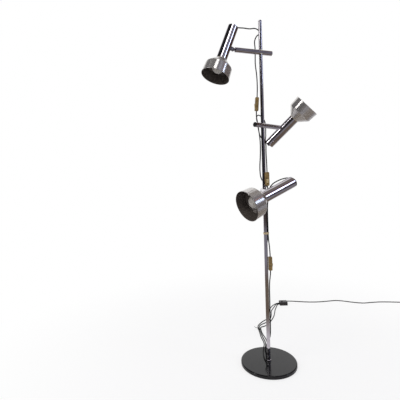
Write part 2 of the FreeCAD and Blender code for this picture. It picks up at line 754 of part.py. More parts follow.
def into_switch(number, way):
    return [switch_end(number, way, ENTRY_RUN), switch_end(number, way, 0.5 - SWITCH_ENTRY)]


def head_cords():
    """From each cap to that lamp's switch. Cord 1 hooks behind the pole over its arm, cord 2 crosses
    behind it twice, and cord 3 loops round its cap and is held by the tie."""
    routes = {
        1: [(-77, -22, 1508.5), (-47.5, -7, 1509), (-22, 8, 1519.5), (-1.5, 15, 1511),
            (-1.5, 15, 1494), (-16, 13.5, 1484), (-25.5, 13, 1460), (-22, 14.2, 1430),
            (-22.8, 13.5, 1395), (-24.5, 11, 1355), (-19.5, 7, 1310), (-18.5, 3, 1255)],
        2: [(37, 120, 1040), (30, 88, 1050), (24.5, 57, 1062), (22.7, 44.5, 1084),
            (15, 36, 1108), (-3, 25, 1123), (-17, 17, 1127.5), (-25, 14.5, 1117), (-23, 15.5, 1101),
            (-17.5, 19.5, 1083), (-15, 20.5, 1060), (-12.3, 18.8, 1038), (-3, 16.5, 1019),
            (10, 13.5, 1007), (14.5, 6.5, 990), (11.5, -2, 962), (11.3, -6.5, 929),
            (11.2, -12, 905)],
        3: [(113, -113, 805.5), (114, -108, 822), (104, -103, 835), (88, -94, 839), (66, -76, 835),
            (44, -54, 824), (30, -38, 813), (22, -28, 801), (19.8, -18, 788), (20.5, -8.5, 771),
            (18.5, -4, 750), (13, -3.2, 730), (11.2, -3, 700), (11, -3.3, 660), (11.2, -2.8, 620),
            (11, -3.1, 590), (12, -2.7, 566), (14, -3.3, 545), (16.5, -2.8, 520)],
    }
    for number, points in routes.items():
        name = "cord_%d_head" % number
        points = start_of(number) + points + into_switch(number, 1)
        write(name, cord(points, CORD_DIA, name))


def runs_to_tie():
    """Cords 1 and 2 from their switches down to the tie."""
    one = into_switch(1, -1)[::-1] + [
        (-26, 4, 1112), (-21, 11, 1095), (-19, 13.8, 1073), (-14.5, 13.2, 1047), (-11.5, 11.5, 1018),
        (-11.5, 5.5, 985), (-13.5, 1, 940), (-17.5, 0.5, 895), (-17, 2, 860), (-12, 9, 838),
        (-2, 15, 822), (10, 15, 808), (18, 10, 792), (20.8, 6.8, 771), (18, 7.8, 748),
        (11.5, 9.2, 725), (9.2, 9.3, 690), (9, 9, 650), (9.4, 8.8, 615), tuple(TIED[0])]
    two = [switch_end(2, -1, 0.5 - SWITCH_ENTRY), switch_end(2, -1, 5.5),
           (15, -10, 787), (20, -2, 775), (20.5, 0.3, 758), (16, 2.3, 738), (11.5, 3, 715),
           (11.2, 3.2, 680), (11, 2.8, 645), (11.2, 3.2, 612), tuple(TIED[1])]
    write("cord_runs_upper", cord(one, CORD_DIA, "cord 1 to the tie"),
          cord(two, CORD_DIA, "cord 2 to the tie"))


def runs_to_box():
    """Cords 1 and 2 from the tie, and cord 3 from its switch, down the pole, over the foot's back
    edge, along the floor through the cable tie and into the box."""
    f, below = 2.6, UP * 0.5
    one = [tuple(TIED[0] - below), (6, 11, 566), (0, 12.4, 545), (-3.3, 12.1, 515), (-3.1, 11.7, 470),
           (-3.5, 12.1, 420), (-3.1, 11.7, 370), (-3.5, 12.1, 320), (-3.1, 11.7, 270),
           (-3.5, 12.1, 220), (-3.1, 11.7, 170), (-3.4, 12, 125), (-3.1, 11.8, 88),
           (-3.3, 13.5, 58), (-3.5, 22, 34), (-3, 40, 20.5), (-1, 65, 18.9), (3, 92, 19),
           (8.5, 121, 20.7), (14, 150, 3), (20, 178, f), (21.5, 205, f), (18.5, 245, f),
           (17.4, 285, f), (18, 315, 3.2), (17.7, 341, TIE_LIFT), (20, 364, 3.2), (27, 385, f),
           (44, 402, f), (62.5, 415.5, f), (78, 430, f), (98, 458, f), (113, 492, f),
           (124, 532, f), (131, 576, f), (145, 608, f), (163, 640, f), (175, 666, 2.8),
           (187, 684, 4.6), (201, 690, BOX_ENTRY_UP), (216.5, 690, BOX_ENTRY_UP)]
    two = [tuple(TIED[1] - below), (10.5, 6.5, 566), (7.5, 10.2, 542), (3.7, 12.2, 515), (3.4, 11.7, 470),
           (3.1, 12.1, 420), (3.5, 11.7, 370), (3.1, 12.1, 320), (3.5, 11.7, 270),
           (3.1, 12.1, 220), (3.5, 11.7, 170), (3.1, 12, 125), (3.4, 11.8, 88), (3.6, 13.5, 58),
           (4, 22, 34), (5, 40, 20.5), (8, 65, 18.9), (11.5, 92, 19), (15.5, 121, 20.7),
           (22, 150, 3), (29, 178, f), (31, 212, f), (29.5, 245, f), (25, 270, f), (23.3, 294, f),
           (23.9, 318, 3.2), (23.5, 341, TIE_LIFT), (27, 361, 3.2), (42, 370, f), (57, 378, f),
           (70, 392, f), (88, 418, f), (106, 447, f), (121, 478, f), (136, 512, f),
           (149, 556, f), (163, 606, f), (180, 645, 2.8), (189, 669, 4.4),
           (201, 682, BOX_ENTRY_UP), (216.5, 682, BOX_ENTRY_UP)]
    three = into_switch(3, -1)[::-1] + [
        (15.5, -1.5, 392), (12.8, 0.8, 370), (11.6, 2.6, 335), (11.9, 2, 290), (11.5, 2.8, 245),
        (11.8, 2.2, 200), (11.9, 3.5, 160), (11.5, 8.5, 124), (7, 17, 102), (-1.5, 19.5, 84),
        (-11, 15.5, 67), (-15, 5, 56), (-13.2, -8, 48), (-13, -15.5, 36), (-14.2, -16, 19.6),
        (-16.5, 2, 18.7), (-17.5, 22, 18.8), (-15.5, 50, 18.8), (-10, 82, 18.9), (1, 121, 20.7),
        (6, 150, 3), (13, 178, f), (13.5, 205, f), (9.5, 245, f), (11.2, 285, f),
        (12.1, 315, 3.2), (11.9, 341, TIE_LIFT), (12.7, 364, 3.2), (19, 388, f), (33, 410, f),
        (48, 431, f), (65, 448.6, f), (83, 466, f), (97, 494, f), (107, 528, f), (115, 565, f),
        (127, 603, f), (143, 640, f), (160, 668, 2.8), (181, 690, 4.6), (200, 698, BOX_ENTRY_UP),
        (216.5, 698, BOX_ENTRY_UP)]
    write("cord_runs_lower", cord(one, CORD_DIA, "cord 1 to the box"),
          cord(two, CORD_DIA, "cord 2 to the box"), cord(three, CORD_DIA, "cord 3 to the box"))


def belt(circles, out):
    """The face inside a belt round circles (x, y, r), given anticlockwise, each out wider."""
    rings = [(V(x, y, 0), r + out) for x, y, r in circles]
    ends = []
    for (c, r), (d, q) in zip(rings, rings[1:] + rings[:1]):
        u = d - c
        sine = (r - q) / u.Length
        u.normalize()
        n = V(u.y, -u.x, 0) * math.sqrt(1 - sine * sine) + u * sine
        ends.append((c + n * r, d + n * q))
    edges = []
    for i, (c, r) in enumerate(rings):
        arrive, leave = ends[i - 1][1], ends[i][0]
        a0, a1 = (math.atan2(p.y - c.y, p.x - c.x) for p in (arrive, leave))
        middle = a0 + ((a1 - a0) % (2 * math.pi)) / 2
        if (arrive - leave).Length > 1e-4:
            via = c + V(math.cos(middle), math.sin(middle), 0) * r
            edges.append(Part.Arc(arrive, via, leave).toShape())
        edges.append(Part.LineSegment(*ends[i]).toShape())
    return Part.Face(Part.Wire(edges))


def band(circles, wide, gap, thick):
    """A belt of the given width, with its inner side gap off the circles."""
    outer = belt(circles, gap + thick).extrude(V(0, 0, wide))
    return outer.cut(belt(circles, gap).extrude(V(0, 0, wide)))


def ties():
    """The tie round pole and cords, and the cable tie on the floor with its lock and tail."""
    r = CORD_DIA / 2
    circles = [(0, 0, POLE_R), (TIED[2].x, TIED[2].y, r), (TIED[1].x, TIED[1].y, r),
               (TIED[0].x, TIED[0].y, r)]
    ring = band(circles, TIE_BAND, 0.5, TIE_THICK)
    ring.translate(V(0, 0, TIED[0].z - TIE_BAND / 2))
    write("pole_tie", ring)

    row = [(11.9, TIE_LIFT, r), (23.8, TIE_LIFT, r)]
    strap = band(row, CABLE_TIE_WIDE, 0.4, CABLE_TIE_THICK)
    top = TIE_LIFT + r + 0.4 + CABLE_TIE_THICK
    x, w = 8.5, CABLE_TIE_WIDE
    lock = box((x, top - 0.3, -0.7), (x + 6.5, top + 4, w + 0.7))
    spine = [V(x + 0.5, 0.8, 0), V(x - 4, 0.9, 0), V(x - 10, 2.4, 0), V(x - 15, 5.6, 0),
             V(x - 18.5, 10.4, 0)]
    edges = [[], []]
    for before, here, after in zip(spine[:1] + spine, spine, spine[1:] + spine[-1:]):
        run = after - before
        run.normalize()
        normal = V(run.y, -run.x, 0) * (CABLE_TIE_THICK / 2)
        edges[0].append(here + normal)
        edges[1].insert(0, here - normal)
    outline = edges[0] + edges[1] + edges[0][:1]
    blade = Part.Face(Part.makePolygon(outline)).extrude(V(0, 0, w))
    blade.translate(V(0, top + 0.4, 0))
    tie = strap.fuse([lock, blade]).removeSplitter()
    tie.Placement = frame(V(0, 341 + w / 2, 0), V(1, 0, 0), V(0, -1, 0))
    write("cable_tie", tie)


def junction():
    """The box on the floor, where the three cords meet the mains cord."""
    x, y = BOX_AT
    half, wide = BOX_LONG / 2, BOX_WIDE / 2
    body = box((x - half, y - wide, 0), (x + half, y + wide, BOX_HIGH))
    body = body.makeFillet(BOX_EDGE, [e for e in body.Edges if e.CenterOfMass.z > 0.1])
    depth = BOX_ENTRY
    for offset in (-8, 0, 8):
        body = body.cut(rod(CORD_DIA / 2 + SLACK, depth + 1, V(x - half - 1, y + offset, BOX_ENTRY_UP),
                            V(1, 0, 0)))
    body = body.cut(rod(MAINS_DIA / 2 + SLACK, depth + 1,
                        V(x + 12, y + wide - depth, BOX_ENTRY_UP + 1), V(0, 1, 0)))
    knob_r, top = BOX_KNOB_DIA / 2, BOX_HIGH + BOX_KNOB_HIGH
    e = BOX_KNOB_HIGH * 0.6
    knob = turned([(0, BOX_HIGH), (knob_r, BOX_HIGH), (knob_r, top - e),
                   arc_mid((knob_r - e, top - e), e, 0, 90), (knob_r - e, top), (0, top)])
    knob.translate(V(x - 8, y, 0))
    write("junction_box", body.fuse(knob).removeSplitter())


def coil_place(t):
    """In on the floor from the outer turn, up at the inner turn, and out again on top."""
    u = (t - 0.5) * 2 * COIL_TURNS
    r = COIL_INNER_R + COIL_STEP * (math.sqrt(u * u + 0.0144) - 0.12)
    s = min(max(u * 2 + 0.5, 0.0), 1.0)
    z = MAINS_DIA / 2 + 0.1 + COIL_STEP * s * s * (3 - 2 * s)
    a = 2 * math.pi * (t * 2 * COIL_TURNS - 0.25)
    return (COIL_AT[0] + r * math.cos(a), COIL_AT[1] + r * math.sin(a), z)


def mains():
    """The mains cord, the coil of what is left of it, and the plug lying on its side."""
    f = MAINS_DIA / 2 + 0.1
    (x, y), wide = BOX_AT, BOX_WIDE / 2
    up = BOX_ENTRY_UP + 1
    start, heading = along(coil_place)(0)
    heading.z = 0
    points = [(x + 12, y + wide - BOX_ENTRY + 0.5, up), (x + 12, y + wide + 10, up),
              (x + 20, 734.5, 4.6), (281, 739, f), (318, 733, f), (356, 723, f), (408, 712, f),
              (476.6, 709, f), (550.6, 721.5, f), (598.6, 729, f), (643.6, 711, f),
              (677.7, 693, f), (744.6, 667, f), (800, 677, f), (863.6, 683, f), (930, 676, f),
              (985, 668, f), tuple(start - heading * 42), tuple(start)]
    write("mains_cord", cord(points, MAINS_DIA, "mains cord"))

    place = along(coil_place)
    edges = biarcs(place, 8 * COIL_TURNS)
    least_gap(coil_place, 2 * COIL_TURNS, MAINS_DIA, "mains coil")
    end, way = place(1.0)
    way.z = 0
    way.normalize()
    side = V(-way.y, way.x, 0)
    turn = V(*PLUG_AT, PLUG_DIA / 2)
    to_plug = run_wire([tuple(end), tuple(end + way * 16), tuple(end + way * 36 - side * 2 + UP * 5),
                        tuple(turn + PLUG_WAY * -18), tuple(turn + PLUG_WAY * 4)], "tail to the plug")
    coil = sweep(Part.Wire(edges + to_plug.Edges), MAINS_DIA, "mains coil")
    write("mains_coil", coil)


def plug():
    """A round two-pin plug with a grip and a ribbed sleeve. Z runs from the cord to the pins."""
    r, e = PLUG_DIA / 2, 2.0
    neck = MAINS_DIA / 2 + 1.6
    body = turned([
        (MAINS_DIA / 2 + SLACK, 0), (neck, 0), (neck + 1.2, RELIEF_LONG), (r * 0.58, RELIEF_LONG + 1),
        (r * 0.62, RELIEF_LONG + PLUG_GRIP - 7), (r, RELIEF_LONG + PLUG_GRIP),
        (r, RELIEF_LONG + PLUG_GRIP + PLUG_FACE - e),
        arc_mid((r - e, RELIEF_LONG + PLUG_GRIP + PLUG_FACE - e), e, 0, 90),
        (r - e, RELIEF_LONG + PLUG_GRIP + PLUG_FACE), (0, RELIEF_LONG + PLUG_GRIP + PLUG_FACE),
        (0, RELIEF_LONG - 2), (MAINS_DIA / 2 + SLACK, RELIEF_LONG - 2),
    ])
    face = RELIEF_LONG + PLUG_GRIP + PLUG_FACE
    pins = []
    for side in (-1, 1):
        pin = rod(PLUG_PIN_DIA / 2, PLUG_PIN_LONG, V(side * PLUG_PIN_SPACE / 2, 0, face))
        ends = [g for g in pin.Edges if g.CenterOfMass.z > face + 1 and g.Length < 20
                and g.BoundBox.ZLength < 0.1]
        pins.append(pin.makeFillet(PLUG_PIN_DIA * 0.3, ends))
    body = body.fuse(pins)
    body.Placement = frame(V(*PLUG_AT, r), V(PLUG_WAY.y, -PLUG_WAY.x, 0) * -1, PLUG_WAY)
    write("mains_plug", body)


os.makedirs("parts", exist_ok=True)
foot()
pole()
for each in LAMPS:
    lamp(each)
switches()
head_cords()
runs_to_tie()
runs_to_box()
ties()
junction()
mains()
plug()
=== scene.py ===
import json
import math

import bmesh
import bpy
from mathutils import Matrix, Vector


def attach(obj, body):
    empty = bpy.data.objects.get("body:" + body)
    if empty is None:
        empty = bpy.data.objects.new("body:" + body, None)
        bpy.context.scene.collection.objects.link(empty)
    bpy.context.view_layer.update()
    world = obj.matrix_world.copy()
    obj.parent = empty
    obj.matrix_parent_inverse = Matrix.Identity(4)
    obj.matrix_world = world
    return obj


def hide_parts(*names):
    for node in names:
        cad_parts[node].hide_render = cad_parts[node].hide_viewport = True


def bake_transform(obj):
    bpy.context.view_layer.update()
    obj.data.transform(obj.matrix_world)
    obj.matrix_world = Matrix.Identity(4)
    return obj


# The looks of a tree floor lamp: a black foot, a chromed pole and three spot heads of spun
# aluminium. Sizes are in millimetres and become metres as a mesh is placed. +Z is up and +Y away
# from the camera, as in the part's source.

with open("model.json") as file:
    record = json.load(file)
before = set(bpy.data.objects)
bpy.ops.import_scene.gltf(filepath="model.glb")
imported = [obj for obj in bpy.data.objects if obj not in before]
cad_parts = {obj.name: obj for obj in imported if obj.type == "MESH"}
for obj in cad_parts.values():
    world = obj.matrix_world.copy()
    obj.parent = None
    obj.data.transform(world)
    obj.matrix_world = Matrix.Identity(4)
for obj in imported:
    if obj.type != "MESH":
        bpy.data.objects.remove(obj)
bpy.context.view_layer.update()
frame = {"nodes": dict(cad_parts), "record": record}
scene = bpy.context.scene

MM = 0.001
UP = Vector((0, 0, 1))
ALONG_X = Matrix.Rotation(math.pi / 2, 4, "Y")

FOOT_R, FOOT_TOP, PAD_THICK = 124.0, 16.0, 1.5
FOOT_EDGE, FOOT_LOWER_EDGE, RECESS_R, RECESS_TOP, STUD_HOLE_R = 4.5, 1.5, 17.0, 9.0, 5.2
POLE_R, POLE_BORE, POLE_TOP, POLE_JOINT = 8.0, 6.8, 1550.0, 1267.0
SWAGE_R, SWAGE_BORE, SWAGE_LONG, TOP_CAP_THICK, TOP_CAP_LONG = 6.75, 5.55, 30.0, 2.0, 14.0
RING_BORE, RING_R, RING_HIGH = 8.05, 10.5, 5.0
ARM_R, ARM_BORE, ARM_FREE, ARM_REACH, ARM_TO_PIVOT = 11.0, 10.0, 55.0, 137.0, 11.0
ARM_HOLE_R, NOSE_LONG, NOSE_TIP, STEM_HOLE_R = 8.9, 20.0, 2.5, 4.05
SEAT_AT, SEAT_THICK, SEAT_HOLE_R = 59.0, 4.0, 4.0
SPRING_AT, SPRING_LONG, SPRING_DIA, SPRING_WIRE, SPRING_TURNS = 33.05, 25.9, 15.0, 1.6, 5
EYE_R, EAR_R, EAR_THICK, SADDLE_HALF = 7.0, 6.5, 2.8, 7.0
HEAD_OFFSET, NECK_RING, PUSH_FIT = 34.0, 1.5, 0.05
TUBE_R, TUBE_BORE, TUBE_BACK, TUBE_FRONT = 23.5, 22.5, 97.5, 73.0
BELL_CONE, BELL_SKIRT, BELL_COLLAR = 35.0, 48.5, 11.0
NECK_R, SHOULDER_R, RIM_R, BELL_WALL = 25.0, 59.0, 61.5, 1.0
RIM_AT = TUBE_FRONT + BELL_CONE + BELL_SKIRT
CAP_AT, HUB_R, HUB_TOP, HUB_BORE = -96.5, 7.5, -105.0, -101.5
CAP_THICK, CAP_SKIRT, CAP_WALL = 2.5, 9.0, 1.6
HOLDER_R, HOLDER_BACK, HOLDER_FRONT = 19.0, 21.0, 67.0
BULB_R, BULB_LONG, BULB_RECESS, BULB_NECK_R = 30.0, 105.0, 20.0, 13.5
SWITCH_LONG, SWITCH_WIDE, SWITCH_DEEP, SWITCH_ENTRY = 62.0, 18.0, 16.4, 7.0
ROCKER_DOWN, ROCKER_LONG, ROCKER_WIDE, ROCKER_PROUD, ROCKER_POCKET = 9.0, 18.0, 9.0, 3.0, 6.5
CORD_R, MAINS_R = 2.5, 3.0
FLOOR_RUN, TIE_LIFT, ENTRY_UP = 2.6, 4.2, 7.0
CAMERA_AT, CAMERA_ROLL, FLOOR_REACH = (-0.2933, -1.540, 0.860), -1.525, 12.0
COIL_AT, COIL_INNER_R, COIL_STEP, COIL_TURNS = (1075.0, 700.0), 23.1, 6.7, 3
PLUG_AT, PLUG_R, PLUG_WAY = (1146.0, 668.0), 18.0, Vector((0.94, 0.34, 0)).normalized()

LAMPS = {
    1: dict(azimuth=199.3, height=1405.5, swivel=6.1, tilt=23.7, outlet=(1.0, 0.0, 0.0), run=19.0),
    2: dict(azimuth=42.0, height=1076.0, swivel=-134.0, tilt=15.0, outlet=(-0.8, -0.5, 0.3), run=28.0),
    3: dict(azimuth=-91.2, height=781.1, swivel=-67.5, tilt=29.7, outlet=(0.45, 0.05, -0.85),
            run=19.0),
}
SWITCHES = {
    1: dict(at=(-24.0, 0.0, 1172.4), faces=180.0, lean=4.3),
    2: dict(at=(11.0, -15.7, 834.5), faces=-90.0, lean=0.0),
    3: dict(at=(17.5, -3.0, 453.3), faces=0.0, lean=0.0),
}


# Places

def axes(origin, x, z):
    """The placement whose X runs along x and Z along z."""
    x, z = Vector(x).normalized(), Vector(z).normalized()
    place = Matrix((x, z.cross(x), z)).transposed().to_4x4()
    place.translation = Vector(origin)
    return place


def on_circle(r, degrees):
    a = math.radians(degrees)
    return r * math.cos(a), r * math.sin(a)


def heading(degrees):
    return Vector((*on_circle(1, degrees), 0))


def arm_place(lamp):
    return axes((0, 0, lamp["height"]), heading(lamp["azimuth"]), UP)


def knuckle_place(lamp):
    out, s = heading(lamp["azimuth"]), math.radians(lamp["swivel"])
    side = Vector((-out.y, out.x, 0))
    return axes(arm_place(lamp) @ Vector((ARM_REACH, 0, 0)), out,
                UP * -math.cos(s) + side * math.sin(s))


def head_place(lamp):
    return knuckle_place(lamp) @ Matrix.Rotation(math.radians(lamp["tilt"]), 4, "Y")


def tube_place(lamp):
    """On the head tube's own axis, level with the tilt pin, Z towards the bell."""
    return head_place(lamp) @ Matrix.Translation((HEAD_OFFSET, 0, 0))


def cord_outlet(number, out):
    """A point on the line of the cap's side bore, out from the tube's axis."""
    lamp = LAMPS[number]
    tube = tube_place(lamp)
    way = tube.to_3x3().inverted() @ Vector(lamp["outlet"])
    way.z = 0
    return tuple(tube @ (way.normalized() * out + Vector((0, 0, HUB_BORE))))


def switch_place(number):
    s = SWITCHES[number]
    out, lean = heading(s["faces"]), math.radians(s["lean"])
    return axes(s["at"], out * math.cos(lean) + UP * math.sin(lean),
                UP * math.cos(lean) - out * math.sin(lean))


def switch_end(number, way, beyond):
    return tuple(switch_place(number) @ Vector((0, 0, way * (SWITCH_LONG / 2 + beyond))))


# Materials

def colour(hex_code):
    """An sRGB hex colour as the linear values that a shader takes."""
    parts = [int(hex_code[i:i + 2], 16) / 255 for i in (1, 3, 5)]
    return [c / 12.92 if c <= 0.04045 else ((c + 0.055) / 1.055) ** 2.4 for c in parts] + [1.0]


def node(tree, kind, inputs=None, **settings):
    """Adds a node, sets its settings, and links or sets its inputs."""
    made = tree.nodes.new(kind)
    for name, value in settings.items():
        setattr(made, name, value)
    for name, value in (inputs or {}).items():
        if isinstance(value, bpy.types.NodeSocket):
            tree.links.new(value, made.inputs[name])
        else:
            made.inputs[name].default_value = value
    return made


def finish_named(name, **constants):
    """A material with its shader set, and the tree that its pattern goes into."""
    made = bpy.data.materials.new(name)
    made.use_nodes = True
    shader = made.node_tree.nodes["Principled BSDF"]
    for key, value in constants.items():
        shader.inputs[key.replace("_", " ")].default_value = value
    return made, made.node_tree, shader


def maths(tree, operation, *values):
    return node(tree, "ShaderNodeMath", dict(enumerate(values)), operation=operation).outputs[0]


def spread(tree, value, start, end, low=0.0, high=1.0, kind="LINEAR"):
    """A value from start to end as one from low to high."""
    return node(tree, "ShaderNodeMapRange", {
        "Value": value, "From Min": start, "From Max": end, "To Min": low, "To Max": high},
        interpolation_type=kind).outputs[0]


def grain(tree, size_mm, low, high, stretch=(1, 1, 1), detail=3.0):
    """A cloudy pattern of patches size_mm across, from low to high."""
    where = node(tree, "ShaderNodeMapping", {
        "Vector": node(tree, "ShaderNodeTexCoord").outputs["Object"], "Scale": stretch})
    noise = node(tree, "ShaderNodeTexNoise", {
        "Vector": where.outputs[0], "Scale": 1 / (size_mm * MM), "Detail": detail})
    return spread(tree, noise.outputs["Fac"], 0.3, 0.7, low, high)


def lathe_rings(tree, apart_mm, detail):
    """Rings round a turned surface, from the V of its UV, which is metres along the profile."""
    across = node(tree, "ShaderNodeSeparateXYZ",
                  {"Vector": node(tree, "ShaderNodeTexCoord").outputs["UV"]}).outputs["Y"]
    return node(tree, "ShaderNodeTexNoise", {
        "W": across, "Scale": 1 / (apart_mm * MM), "Detail": detail},
        noise_dimensions="1D").outputs["Fac"]


def tones(tree, shader, share, first, second):
    """Colours the surface between two near tones."""
    mixed = node(tree, "ShaderNodeMix", {"Factor": share, "A": colour(first), "B": colour(second)},
                 data_type="RGBA")
    tree.links.new(mixed.outputs["Result"], shader.inputs["Base Color"])


def relief(tree, shader, height, deep_mm):
    """Raises the surface by height, which runs from 0 to 1, times deep_mm."""
    bump = node(tree, "ShaderNodeBump", {"Height": height, "Strength": 1.0,
                                         "Distance": deep_mm * MM})
    tree.links.new(bump.outputs[0], shader.inputs["Normal"])


def finish_of(name, tone, rough, bump=None, **constants):
    """A material in two near tones, (patch mm, first, second), duller in patches, (patch mm,
    smoothest, dullest), and raised a little, (patch mm, depth mm, grain's settings)."""
    made, tree, shader = finish_named(name, **constants)
    patch, first, second = tone
    tones(tree, shader, grain(tree, patch, 0.0, 1.0), first, second)
    tree.links.new(grain(tree, *rough), shader.inputs["Roughness"])
    if bump:
        patch, deep, settings = bump
        relief(tree, shader, grain(tree, patch, 0.0, 1.0, **settings), deep)
    return made


def chrome_plate():
    # Chrome over polished steel tube: a dark mirror, with a wiped haze and small dull specks.
    made, tree, shader = finish_named("chrome_plate", Metallic=1.0)
    haze = grain(tree, 30, 0.03, 0.11, stretch=(1, 1, 0.25))
    speck = grain(tree, 1.6, 0.0, 1.0, detail=1.0)
    rough = maths(tree, "MULTIPLY_ADD", maths(tree, "POWER", speck, 6.0), 0.06, haze)
    tree.links.new(rough, shader.inputs["Roughness"])
    tones(tree, shader, grain(tree, 45, 0.0, 1.0), "#cfcbd0", "#bdb6bd")
    relief(tree, shader, grain(tree, 9, 0.0, 1.0, stretch=(1, 1, 0.2)), 0.006)
    return made


def spun_aluminium():
    # Aluminium spun on a lathe and left satin: fine rings round the axis, drawn about 1.5 mm
    # apart where the real ones are a few tenths. They draw each reflection out into a streak
    # along the bell, sharp at its sides.
    made, tree, shader = finish_named("spun_aluminium", Metallic=0.82, Anisotropic=0.85,
                                      Anisotropic_Rotation=0.25)
    rings = lathe_rings(tree, 1.5, 4.0)
    tree.links.new(spread(tree, rings, 0.3, 0.7, 0.2, 0.24), shader.inputs["Roughness"])
    share = maths(tree, "MULTIPLY_ADD", rings, 0.5, grain(tree, 26, 0.0, 0.6))
    tones(tree, shader, share, "#d6d3d0", "#c8c4c1")
    tangent = node(tree, "ShaderNodeTangent", direction_type="UV_MAP", uv_map="UVMap")
    tree.links.new(tangent.outputs[0], shader.inputs["Tangent"])
    return made


def bell_inside_shade():
    # The inside of the bell, spun aluminium whose dark grey-brown satin colour is painted shade, the
    # shade that falls inside the bell; the lathe's rings still show faintly.
    made, tree, shader = finish_named("painted_shade_inside", Metallic=0.3, IOR=1.5)
    tones(tree, shader, grain(tree, 24, 0.0, 1.0), "#5a534e", "#4e4743")
    tree.links.new(grain(tree, 10, 0.36, 0.44), shader.inputs["Roughness"])
    relief(tree, shader, lathe_rings(tree, 2.5, 2.0), 0.006)
    return made


def black_lacquer():
    # Sprayed and stoved black lacquer on steel: deep gloss with a faint orange peel and dust.
    return finish_of("black_lacquer", (60, "#0c0c0e", "#161517"), (12, 0.10, 0.22),
                     (3.5, 0.012, dict(detail=1.0)), Specular_IOR_Level=0.35, IOR=1.5)


def moulded_plastic(name, first, second, smooth, dull):
    # Injection-moulded plastic: an even tone, a soft shine and the mould's fine spark-worn grain,
    # drawn coarser than the real 0.1 mm so that it shows.
    return finish_of(name, (14, first, second), (5, smooth, dull), (0.9, 0.03, dict(detail=2.0)),
                     IOR=1.5)


def frosted_glass():
    # Glass etched inside: a pale, even, slightly waxy surface that hides the filament.
    return finish_of("etched_glass", (18, "#c9c5be", "#b4afa8"), (4, 0.34, 0.46),
                     (0.8, 0.01, dict(detail=1.0)), IOR=1.5, Transmission_Weight=0.25,
                     Subsurface_Weight=0.2, Subsurface_Radius=(0.004, 0.004, 0.0035),
                     Coat_Weight=0.35, Coat_Roughness=0.08)


def pvc_cord(name, first, second):
    # Round PVC flex: a dull sheen, the bulge of the twisted cores under the sheath every 28 mm
    # or so, and rubbed patches.
    return finish_of(name, (22, first, second), (7, 0.5, 0.65), (11, 0.12, dict(stretch=(1, 1, 0.4))),
                     IOR=1.5, Specular_IOR_Level=0.2)


def plated_steel():
    # Zinc-plated steel: grey-blue crystals a few millimetres across, half dull.
    made, tree, shader = finish_named("zinc_plated_steel", Metallic=1.0)
    cells = node(tree, "ShaderNodeTexVoronoi", {
        "Vector": node(tree, "ShaderNodeTexCoord").outputs["Object"], "Scale": 1 / (3 * MM)})
    tones(tree, shader, cells.outputs["Distance"], "#a9abae", "#8b8f94")
    tree.links.new(grain(tree, 2, 0.28, 0.5), shader.inputs["Roughness"])
    return made


def pressed_brass():
    # Thin brass pressed into the bulb's screw cap: warm, slightly tarnished.
    return finish_of("pressed_brass", (6, "#c9ab62", "#9c7f45"), (3, 0.2, 0.42), Metallic=1.0)


def wool_felt():
    # Pressed black felt: matt, with loose fibres about a millimetre long.
    made, tree, shader = finish_named("pressed_felt", Roughness=0.95, Sheen_Weight=0.3,
                                      Sheen_Roughness=0.5)
    tones(tree, shader, grain(tree, 1.2, 0.0, 1.0, detail=6.0), "#141414", "#262524")
    relief(tree, shader, grain(tree, 1.0, 0.0, 1.0, detail=6.0), 0.2)
    return made


def browned_steel():
    # Turned steel, browned and oiled: a dark grey, half-dull metal, paler where it rubs.
    return finish_of("browned_steel", (8, "#6f6b70", "#8a868b"), (3, 0.25, 0.42), (0.7, 0.01, {}),
                     Metallic=0.7)


FINISH = {
    "chrome": chrome_plate(),
    "spun_aluminium": spun_aluminium(),
    # The bells' insides: a dark colour that is painted shade.
    "bell_inside": bell_inside_shade(),
    "black_lacquer": black_lacquer(),
    "felt": wool_felt(),
    "steel": plated_steel(),
    "nylon": moulded_plastic("natural_nylon", "#d8d4c4", "#c9c4b2", 0.4, 0.55),
    "black_plastic": moulded_plastic("black_moulded_plastic", "#141415", "#1f1e20", 0.3, 0.45),
    "dark_joint": browned_steel(),
    "cream_plastic": moulded_plastic("cream_urea_plastic", "#cfc5a4", "#bdb08c", 0.3, 0.42),
    "frosted_glass": frosted_glass(),
    "cap_brass": pressed_brass(),
    "black_cord": pvc_cord("black_pvc_cord", "#080809", "#111012"),
    "grey_cord": pvc_cord("grey_pvc_cord", "#3c3b3c", "#4b4a49"),
    "bronze_plastic": moulded_plastic("bronze_tinted_plastic", "#8f7648", "#5c4a30", 0.22, 0.4),
    "pale_plastic": moulded_plastic("pale_rocker_plastic", "#cbb98e", "#b5a277", 0.25, 0.4),
    "beige_tie": moulded_plastic("beige_vinyl_tie", "#b8a684", "#a3906e", 0.4, 0.6),
    "dark_box": moulded_plastic("dark_box_plastic", "#2a2829", "#383536", 0.3, 0.5),
}


# Meshes

def rounded(points, steps=5):
    """A profile of (r, z) points in which a corner given as (r, z, radius) is an arc."""
    out = []
    for i, p in enumerate(points):
        here = Vector(p[:2])
        if len(p) < 3 or not 0 < i < len(points) - 1:
            out.append(tuple(here))
            continue
        u = (Vector(points[i - 1][:2]) - here).normalized()
        v = (Vector(points[i + 1][:2]) - here).normalized()
        half = u.angle(v) / 2
        reach = p[2] / math.tan(half)
        centre = here + (u + v).normalized() * (p[2] / math.sin(half))
        start, end = here + u * reach - centre, here + v * reach - centre
        for k in range(steps + 1):
            out.append(tuple(centre + start.slerp(end, k / steps).normalized() * p[2]))
    return out


def band(inner, outer, low, high, bottom=(), top=(), steps=5):
    """The closed profile of a ring. Its outer corners are rounded if they have a radius."""
    return rounded([(inner, low), (outer, low, *bottom), (outer, high, *top), (inner, high),
                    (inner, low)], steps)


